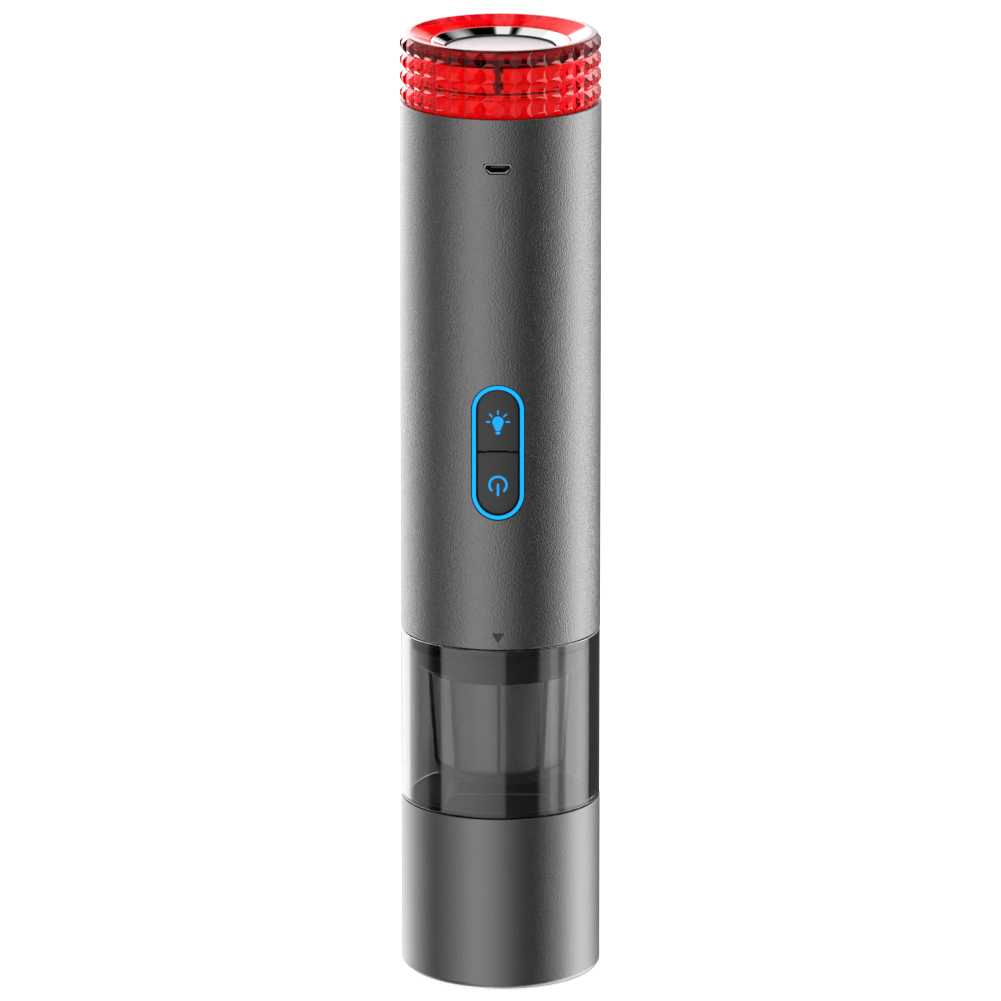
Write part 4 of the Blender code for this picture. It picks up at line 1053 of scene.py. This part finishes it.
WIRE_R = 0.11
backing = turned("cloth_sheet", [(CLOTH_TOP_R - 0.05, CLOTH_HIGH), (CLOTH_FOOT_R - 0.05, CLOTH_LOW),
                                 (CLOTH_FOOT_R - 0.3, CLOTH_LOW), (CLOTH_TOP_R - 0.3, CLOTH_HIGH)], 160)
cloth = run_rule("wire_cloth", wire_cloth, {"Uprights": 150, "Hoops": 38, "Wire": WIRE_R * MM}, "wire_steel",
                 crease=80.0)
fit(merged("filter_cloth", cloth, backing), "filter_unit", "wire_steel", "filter_mesh", slot="bright_steel")

# %% Folded paper
FOLDS = 24
PAPER_LOW, PAPER_HIGH = heights("pleated_filter")
PAPER_OUT, PAPER_IN = 15.4, 12.2


def folded_wall(nodes, given):
    """A ring whose points go out and in by a wave, drawn up into a wall."""
    ring = nodes.add("GeometryNodeMeshCircle", None, {
        "Vertices": given["Folds"] * 8, "Radius": PAPER_OUT * MM})
    wave = (nodes.add("GeometryNodeInputIndex") * (math.tau / 8)).maths("COSINE") * 0.5 + 0.5
    shrink = wave * ((PAPER_IN - PAPER_OUT) / PAPER_OUT) + 1.0
    place = nodes.add("GeometryNodeInputPosition")
    scaled = nodes.add("ShaderNodeVectorMath", {"operation": "SCALE"}, {0: place, "Scale": shrink})
    folded = nodes.add("GeometryNodeSetPosition", None, {"Geometry": ring, "Position": scaled})
    drawn = nodes.add("GeometryNodeExtrudeMesh", {"mode": "EDGES"}, {
        "Mesh": folded, "Offset": nodes.vector(Z=(PAPER_HIGH - PAPER_LOW) * MM), "Offset Scale": 1.0})
    return nodes.moved(drawn, (0.0, 0.0, PAPER_LOW * MM))


paper_ring = run_rule("paper_folds", folded_wall, {"Folds": FOLDS}, "filter_paper", crease=60.0)
modified(paper_ring, "SOLIDIFY", thickness=0.5 * MM, offset=0.0)
tidy(paper_ring.data, 60.0)
paper_ring.name = "paper_filter"
fit(paper_ring, "filter_unit", "filter_paper", "pleated_filter")

# %% [markdown]
# ## Keys
# A band of blue light guide lies flush in the barrel around two black keys, which sit a millimetre deeper.
# All of them follow the round of the barrel. A flat outline filled with one face would stay flat, so each
# key is a grid of rows across, bent to the tube, with a rounded edge added ring by ring. The seam between
# the keys steps up in the middle, so that neither key can be pressed by its neighbour's edge.

# %% Light guide band
KEY_RECESS = 1.0
BAND = 1.05
band_steps = [(0.0, 2.2), (0.0, 0.22), (0.07, 0.07), (0.24, 0.0), (BAND - 0.24, 0.0), (BAND - 0.07, 0.07),
              (BAND, 0.22), (BAND, 2.2)]
band_rings = [on_tube(stadium(SURROUND_WIDTH - 2 * inset, SURROUND_HEIGHT - 2 * inset, KEYS_Z, 20),
                      BODY_R - 0.02 - depth) for inset, depth in band_steps]
band = joined("light_guide_band", band_rings, crease=50.0)
# painted shade on the band's inner walls, below its glowing top
paint_faces(band, "shining", lambda middle, normal: float(BODY_R - math.hypot(middle.x, middle.y) < 0.3))
fit(band, "main_body", "blue_light_guide", "key_surround")

# %% The two keys
KEY_GAP = 0.25
KEY_WIDTH = SURROUND_WIDTH - 2 * BAND - 2 * KEY_GAP
KEY_HALF_LENGTH = SURROUND_HEIGHT / 2 - BAND - KEY_GAP
KEY_EDGE = 0.45
KEY_BACK = -24.9
SEAM_STEP, SEAM_TAB, SEAM_GAP = 0.17, 3.25, 0.16
COLUMNS = 26


def key_row(level, half, side):
    """Points across a key; next to the seam they follow its step."""
    row = []
    for column in range(COLUMNS + 1):
        across = half * (2 * column / COLUMNS - 1)
        step = SEAM_STEP if abs(across) < SEAM_TAB else -SEAM_STEP
        share = max(0.0, 1 - level / 1.5)
        row.append((across, KEYS_Z + side * (level + SEAM_GAP) + step * share))
    return row


def key_rows(side):
    """Rows from the seam to the round end, inside the rounded edge."""
    reach, radius = KEY_HALF_LENGTH - KEY_EDGE, KEY_WIDTH / 2 - KEY_EDGE
    straight = KEY_HALF_LENGTH - KEY_WIDTH / 2
    levels = [KEY_EDGE + (straight - KEY_EDGE) * step / 8 for step in range(9)]
    rows = [key_row(level, radius, side) for level in levels]
    for step in range(1, 15):
        turn = math.radians(87.0 * step / 14)
        rows.append(key_row(straight + radius * math.sin(turn), radius * math.cos(turn), side))
    return rows


def key_piece(name, side):
    """A key: bent top, rounded edge, side wall and back."""
    rows = key_rows(side)
    count = COLUMNS + 1
    points = [point for row in rows for point in on_tube(row, BODY_R - KEY_RECESS)]
    faces = lattice(len(rows), count)
    border = list(range(count)) + [row * count + COLUMNS for row in range(1, len(rows))]
    border += [(len(rows) - 1) * count + column for column in range(COLUMNS - 1, -1, -1)]
    border += [row * count for row in range(len(rows) - 2, 0, -1)]
    loop = border
    corners = [Vector((points[index][0], points[index][2])) for index in border]
    outwards = []
    for index, here in enumerate(corners):
        along = (corners[(index + 1) % len(corners)] - corners[index - 1]).normalized()
        outwards.append(Vector((along.y, -along.x)) * side)
    for step in (1, 2, 3, 4, None):
        turn = math.radians(22.5 * (step or 4))
        out, down = KEY_EDGE * math.sin(turn), KEY_EDGE * (1 - math.cos(turn))
        start = len(points)
        moved = [(here.x + way.x * out, here.y + way.y * out) for here, way in zip(corners, outwards)]
        points += on_tube(moved, BODY_R - KEY_RECESS - down) if step else upright(moved, KEY_BACK)
        ring = list(range(start, start + len(moved)))
        faces += [(loop[index], loop[index - 1], ring[index - 1], ring[index]) for index in range(len(ring))]
        loop = ring
    faces.append(tuple(loop))
    return skin(name, points, faces, 60.0)


STEM_OFF = 8.7  # each key's stem stands this far from the seam and presses its switch
STEM = ((-26.0, 1.6), (-23.85, 1.6), (-23.7, 1.4))  # depth and radius
for name, side, body in (("light_key", 1, "light_button"), ("power_key", -1, "power_button")):
    cap = key_piece(name + "_cap", side)
    middle = (0.0, KEYS_Z + side * STEM_OFF)
    circles = [upright(arc(middle, radius, 0, 345, 23), depth) for depth, radius in STEM]
    stem = joined("stem", circles, "capped")
    fit(merged(name + "_top", cap, stem), body, "key_black", name)

# %% [markdown]
# The marks on the keys are clear windows that the light shines through: a bulb with five rays, and the
# usual power sign, an open ring with a bar. An arrow on the barrel's foot points at the cup. Each is a thin
# solid laid on the round surface, made of strips across so that it bends with it.

# %% Marks that lie on a round surface
MARK_HEIGHT = 0.04


def laid(name, strips, radius):
    """Strips of points, each joined to the next, laid on the tube and given a small thickness."""
    points, faces = [], []
    for strip in strips:
        faces += lattice(len(strip), len(strip[0]), len(points))
        for row in strip:
            points += on_tube(row, radius)
    made = skin(name, points, faces)
    faces_back = sum(face.normal.y for face in made.data.polygons) > 0
    if faces_back:
        made.data.flip_normals()
    return modified(made, "SOLIDIFY", thickness=MARK_HEIGHT * MM, offset=1.0)


def row_between(level, left, right, columns=8):
    """A level row of points."""
    return [(left + (right - left) * column / columns, level) for column in range(columns + 1)]


def blob(centre_z, profile):
    """A symmetric shape from (height, half width) pairs."""
    return [row_between(centre_z + up, -half, half) for up, half in profile]


ROUND_END = (0.15, 0.5, 1.0)  # turns from the tip of a stroke's round end, in radians


def stroke(path, width):
    """A line of even width with round ends."""
    way = [Vector(point) for point in path]
    last = len(way) - 1
    stations = [(0, -turn) for turn in ROUND_END] + [(index, None) for index in range(last + 1)]
    stations += [(last, turn) for turn in ROUND_END[::-1]]
    rows = []
    for index, turn in stations:
        along = (way[min(index + 1, last)] - way[max(index - 1, 0)]).normalized()
        across = Vector((-along.y, along.x)) * (width / 2)
        middle = way[index]
        if turn is not None:
            middle = middle + along * math.copysign(width / 2 * math.cos(turn), turn)
            across = across * math.sin(abs(turn))
        rows.append([tuple(middle + across * side) for side in (-1, 0, 1)])
    return rows


BULB_Z, BULB_R = KEYS_Z + 8.45, 1.52
RAY_REACH, RAY_WIDTH = (2.25, 2.65, 3.05), 0.46
bulb_turns = [math.radians(3 + 9 * step) for step in range(13)]
bulb_profile = [(BULB_R * math.cos(turn), BULB_R * math.sin(turn)) for turn in bulb_turns]
low_up, low_half = bulb_profile[-1]
bulb_profile += [(low_up + (-2.35 - low_up) * step / 4, low_half + (0.66 - low_half) * step / 4)
                 for step in range(1, 5)]
bulb_profile.append((-2.45, 0.5))
base_profile = [(-2.72, 0.5), (-2.80, 0.62), (-3.15, 0.62), (-3.4, 0.42), (-3.5, 0.2)]
rays = []
for angle in (0, 43, 90, 137, 180):
    turn = math.radians(angle)
    ray = [(reach * math.cos(turn), BULB_Z + reach * math.sin(turn)) for reach in RAY_REACH]
    rays.append(stroke(ray, RAY_WIDTH))
bulb_mark = laid("bulb_mark", [blob(BULB_Z, bulb_profile), blob(BULB_Z, base_profile), *rays],
                 BODY_R - KEY_RECESS)
fit(bulb_mark, "light_button", "blue_print", slot="blue_light_guide")

POWER_Z, POWER_R, POWER_LINE = KEYS_Z - 9.2, 2.32, 0.62
ring_path = arc((0.0, POWER_Z), POWER_R, -44, 220, 33)
bar_path = [(0.0, POWER_Z - down) for down in (-0.1, 0.8, 1.8, 2.8)]
power_lines = [stroke(path, POWER_LINE) for path in (ring_path, bar_path)]
power_mark = laid("power_mark", power_lines, BODY_R - KEY_RECESS)
fit(power_mark, "power_button", "blue_print", slot="blue_light_guide")

ARROW_LOW, ARROW_HIGH, ARROW_HALF = 99.18, 101.92, 1.56
arrow_shares = (0.0, 0.25, 0.5, 0.75, 1.0)
arrow_profile = [((ARROW_HIGH - ARROW_LOW) * share, ARROW_HALF * share + 0.05) for share in arrow_shares]
arrow = laid("seam_arrow", [blob(ARROW_LOW, arrow_profile)], BODY_R - 0.01)
fit(arrow, "main_body", "print_grey", slot="dark_plastic")

# %% [markdown]
# ## Charging socket
# A folded steel shell, set back a little from the barrel, open at the front and closed at its back, with a
# thin tongue inside. It is a row of outlines: out along the outside, over the lip, and back down the
# inside.

# %% Socket shell and tongue
socket_front, socket_back = span("socket_shell")[0].y, span("socket_shell")[1].y
shell_rows = [(0.0, socket_back), (0.0, socket_front + 0.1), (-0.05, socket_front), (-0.22, socket_front),
              (-0.3, socket_front + 0.12), (-0.3, socket_back - 0.6)]
shell_outlines = [upright(socket_outline(grow), depth) for grow, depth in shell_rows]
shell = joined("socket_sleeve", shell_outlines, "capped", 40.0)
fit(shell, "main_body", "socket_steel", "socket_shell", slot="bright_steel")
tongue_low, tongue_high = span("socket_tongue")
TONGUE_WIDTH, TONGUE_THICK, TONGUE_EDGE = 3.8, 0.55, 0.08
tongue_middle = (0.0, (tongue_low.z + tongue_high.z) / 2)
tongue_rows = []
for inset, depth in ((TONGUE_EDGE, tongue_low.y), (0.0, tongue_low.y + TONGUE_EDGE), (0.0, tongue_high.y)):
    size = TONGUE_WIDTH - 2 * inset, TONGUE_THICK - 2 * inset
    tongue_rows.append(upright(rounded_rectangle(*size, 0.1, tongue_middle, 2), depth))
tongue = joined("socket_blade", tongue_rows, "capped")
fit(tongue, "main_body", "black_plastic", "socket_tongue")

# %% [markdown]
# ## Warning lens
# The red lens is a ring with four rows of thirty-six studs, each a pyramid with its top cut off, so that
# the emitters behind it can be seen from every side. The ring is turned first with one face for each stud.
# A rule then draws every marked face out and shrinks it, which gives exactly the same stud everywhere.

# %% Ring with studs
STUD_ROWS, STUD_COLUMNS = 4, 36
RING_R, RIM_EDGE, RIM_BORE = 26.5, 0.3, 24.5
RING_FOOT_R, RING_INNER_R = 25.7, 24.6
FUNNEL_R, FUNNEL_DROP = 19.2, 2.3
stud_high = TOP - RIM_EDGE
WALL_FOOT = BARREL_HIGH + 0.3
levels = [stud_high - (stud_high - WALL_FOOT) * row / STUD_ROWS for row in range(STUD_ROWS + 1)]
lens_profile = [(RIM_BORE, TOP), (25.4, TOP), (RING_R - RIM_EDGE, TOP - 0.04),
                *[(RING_R, up) for up in levels], (RING_FOOT_R, WALL_FOOT), (RING_FOOT_R, RING_LOW),
                (RING_INNER_R, RING_LOW), (RING_INNER_R, TOP - 2.7), (RING_INNER_R - 1.2, TOP - 1.9),
                (FUNNEL_R, TOP - FUNNEL_DROP - 1.4), (FUNNEL_R, TOP - FUNNEL_DROP), (20.9, TOP - 1.55),
                (22.7, TOP - 0.8)]
lens_ring = turned("lens_ring", lens_profile, STUD_COLUMNS, 20.0)
marks = lens_ring.data.attributes.new("stud", "BOOLEAN", "FACE").data
for face in lens_ring.data.polygons:
    middle = face.center / MM
    on_wall = abs(face.normal.z) < 0.01 and math.hypot(middle.x, middle.y) > 26.0
    marks[face.index].value = on_wall and middle.z > WALL_FOOT


def draw_studs(nodes, given):
    """Draw each marked face out and shrink it."""
    marked = nodes.add("GeometryNodeInputNamedAttribute", {"data_type": "BOOLEAN"}, {"Name": "stud"})
    drawn = nodes.add("GeometryNodeExtrudeMesh", None, {
        "Mesh": given["Geometry"], "Selection": marked, "Offset Scale": given["Stud height"],
        "Individual": True})
    tops = Socket(nodes.tree, drawn.socket.node.outputs["Top"])
    return nodes.add("GeometryNodeScaleElements", None, {
        "Geometry": drawn, "Selection": tops, "Scale": given["Top share"]})


studs = {"Stud height": 1.0 * MM, "Top share": 0.33}
lens_ring = run_rule("lens_studs", draw_studs, studs, "red_lens", lens_ring, 20.0)
eased(lens_ring, 0.07, 14)
tidy(lens_ring.data, 20.0)
lens_ring.name = "warning_lens_ring"
fit(lens_ring, "main_body", "red_lens", "warning_ring")

# %% Light-spreading sleeve behind the lens
LINER_LOW, LINER_HIGH = heights("lens_liner")
LINER_R, LINER_BORE = 24.3, 23.5
liner = turned("light_sleeve", rounded([
    (LINER_BORE, LINER_HIGH, 0), (LINER_R, LINER_HIGH, 0.2), (LINER_R, LINER_JOINT + 0.35, 0.1),
    (LINER_R - 0.4, LINER_JOINT + 0.2, 0.05), (LINER_R - 0.4, LINER_JOINT - 0.2, 0.05),
    (LINER_R, LINER_JOINT - 0.35, 0.1), (LINER_R, LINER_LOW, 0.1), (LINER_BORE, LINER_LOW, 0)], 3), 144)
fit(liner, "main_body", "lit_liner", "lens_liner", slot="board_white")

# %% [markdown]
# ## Torch
# A chrome shell turned from one profile is both the bezel and the bowl behind the lens. The lens is a pale
# disc with a soft edge that lies just under the bezel.

# %% Reflector and lens
LENS_R = 15.0
LENS_LOW, LENS_HIGH = heights("lamp_lens")
BEZEL_R = FUNNEL_R - 0.3
BOWL_LOW, BEZEL_TOP = heights("reflector")
BOWL_R, BOWL_FOOT_R = 13.6, 4.0
SEAT = LENS_LOW - 0.3
STEP = 0.5  # from the lens up to the bezel's inner edge
curve_scale = (SEAT - BOWL_LOW) / (BOWL_R ** 2 - BOWL_FOOT_R ** 2)
bowl_radii = [BOWL_R - (BOWL_R - BOWL_FOOT_R) * step / 16 for step in range(17)]
bowl = [(radius, BOWL_LOW + curve_scale * (radius ** 2 - BOWL_FOOT_R ** 2)) for radius in bowl_radii]
bowl_back = [(radius + 1.0, level - 0.2) for radius, level in bowl[1:-1]]
STEP_R = LENS_R + 0.3
bezel = rounded([(STEP_R, SEAT, 0), (STEP_R, LENS_HIGH + STEP, 0.1), (BEZEL_R, BEZEL_TOP, 0.25),
                 (BEZEL_R, BEZEL_TOP - 1.2, 0.1), (LENS_R + 1.5, LENS_HIGH - 1.2, 0.1),
                 (LENS_R + 1.5, SEAT - 1.0, 0)], 4)
mirror_profile = [*bezel, *bowl_back, (BOWL_FOOT_R + 1.0, BOWL_LOW), *bowl[::-1]]
mirror = turned("torch_reflector", mirror_profile, 160, 40.0)


def chrome_coat_and_step_shade(middle, normal):
    """Chrome lies on every face that looks up, except the step round the lens, which is painted dark as
    painted shade in the gap.
    """
    on_step = abs(math.hypot(middle.x, middle.y) - STEP_R) < 0.12 and middle.z > SEAT
    return float(normal.z > 0.02 and not on_step)


paint_faces(mirror, "coated", chrome_coat_and_step_shade)
fit(mirror, "main_body", "chrome", "reflector")
disc = turned("torch_lens", rounded([(0.0, LENS_HIGH, 0), (LENS_R, LENS_HIGH, 0.3), (LENS_R, LENS_LOW, 0.1),
                                     (0.0, LENS_LOW, 0)], 4), 160)
fit(disc, "main_body", "lamp_lens_clear", "lamp_lens")

# %% [markdown]
# ## Screws
# Three screws hold the nozzle, seen from below, and two hold the lamp's board. They differ only in size and
# in which way they face, so one rule makes a head, a shank and the cross cut that a driver fits.

# %% Screws
def crossed_screw(nodes, given):
    """A round head with a cross cut in it and a plain shank, head at the top."""
    head_part = nodes.add("GeometryNodeMeshCylinder", None, {
        "Vertices": 40, "Radius": given["Head radius"], "Depth": given["Head height"]})
    shank = nodes.add("GeometryNodeMeshCylinder", None, {
        "Vertices": 24, "Radius": given["Shank radius"], "Depth": given["Shank length"]})
    drop = (given["Head height"] + given["Shank length"]) * -0.5 + 0.05 * MM
    cut_head = nodes.tree.nodes.new("GeometryNodeMeshBoolean")
    cut_head.operation = "DIFFERENCE"
    feed(nodes.tree, cut_head.inputs["Mesh 1"], head_part)
    long_side, short_side = given["Head radius"] * 1.3, given["Head radius"] * 0.26
    for width, depth in ((long_side, short_side), (short_side, long_side)):
        size = nodes.vector(X=width, Y=depth, Z=given["Head height"])
        bar = nodes.add("GeometryNodeMeshCube", None, {"Size": size})
        raised = nodes.moved(bar, nodes.vector(Z=given["Head height"] * 0.55))
        nodes.tree.links.new(raised.socket, cut_head.inputs["Mesh 2"])
    return nodes.gathered([Socket(nodes.tree, cut_head.outputs[0]), nodes.moved(shank, nodes.vector(Z=drop))])


def screw_at(name, node, body, head_r, head_height, shank_r, faces_up):
    """Make a screw in its node's place."""
    low, high = span(node)
    inputs = {"Head radius": head_r * MM, "Head height": head_height * MM, "Shank radius": shank_r * MM,
              "Shank length": (high.z - low.z - head_height) * MM}
    part = run_rule(name, crossed_screw, inputs, "bright_steel")
    middle = (low + high) / 2
    level = high.z - head_height / 2 if faces_up else low.z + head_height / 2
    flip = Matrix.Identity(4) if faces_up else Matrix.Rotation(math.pi, 4, "X")
    part.data.transform(Matrix.Translation(Vector((middle.x, middle.y, level)) * MM) @ flip)
    tidy(part.data)
    fit(part, body, "bright_steel", node)


for number in (1, 2, 3):
    screw_at(f"housing_screw_{number}", f"nozzle_screw_{number}", "dust_cup_unit", 2.7, 1.3, 1.3, False)
for number in (1, 2):
    screw_at(f"board_screw_{number}", f"lamp_screw_{number}", "main_body", 2.2, 1.2, 1.2, True)

# %% [markdown]
# ## Inner parts
# The fan, the motor, the cells, the board and the frame stay as they come from the frame, because their
# shape is right and only a slot or an open cup shows them. Each still gets a real finish in place of its
# flat colour.

# %% Paint the inner nodes
inner = [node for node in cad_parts.values() if not node.hide_render]
for node in inner:
    for slot in node.material_slots:
        slot.material = FINISHES[slot.material.name.split(".")[0]]
print("inner nodes painted:", len(inner))

# %% [markdown]
# ## Measure and finish
# The fine model must stay in the measured box of the frame.

# %% Finish
box_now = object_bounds()
for label, (low, high) in (("frame", cad_box), ("pieces", box_now)):
    print(label, [round((b - a) / MM, 2) for a, b in zip(low, high)])
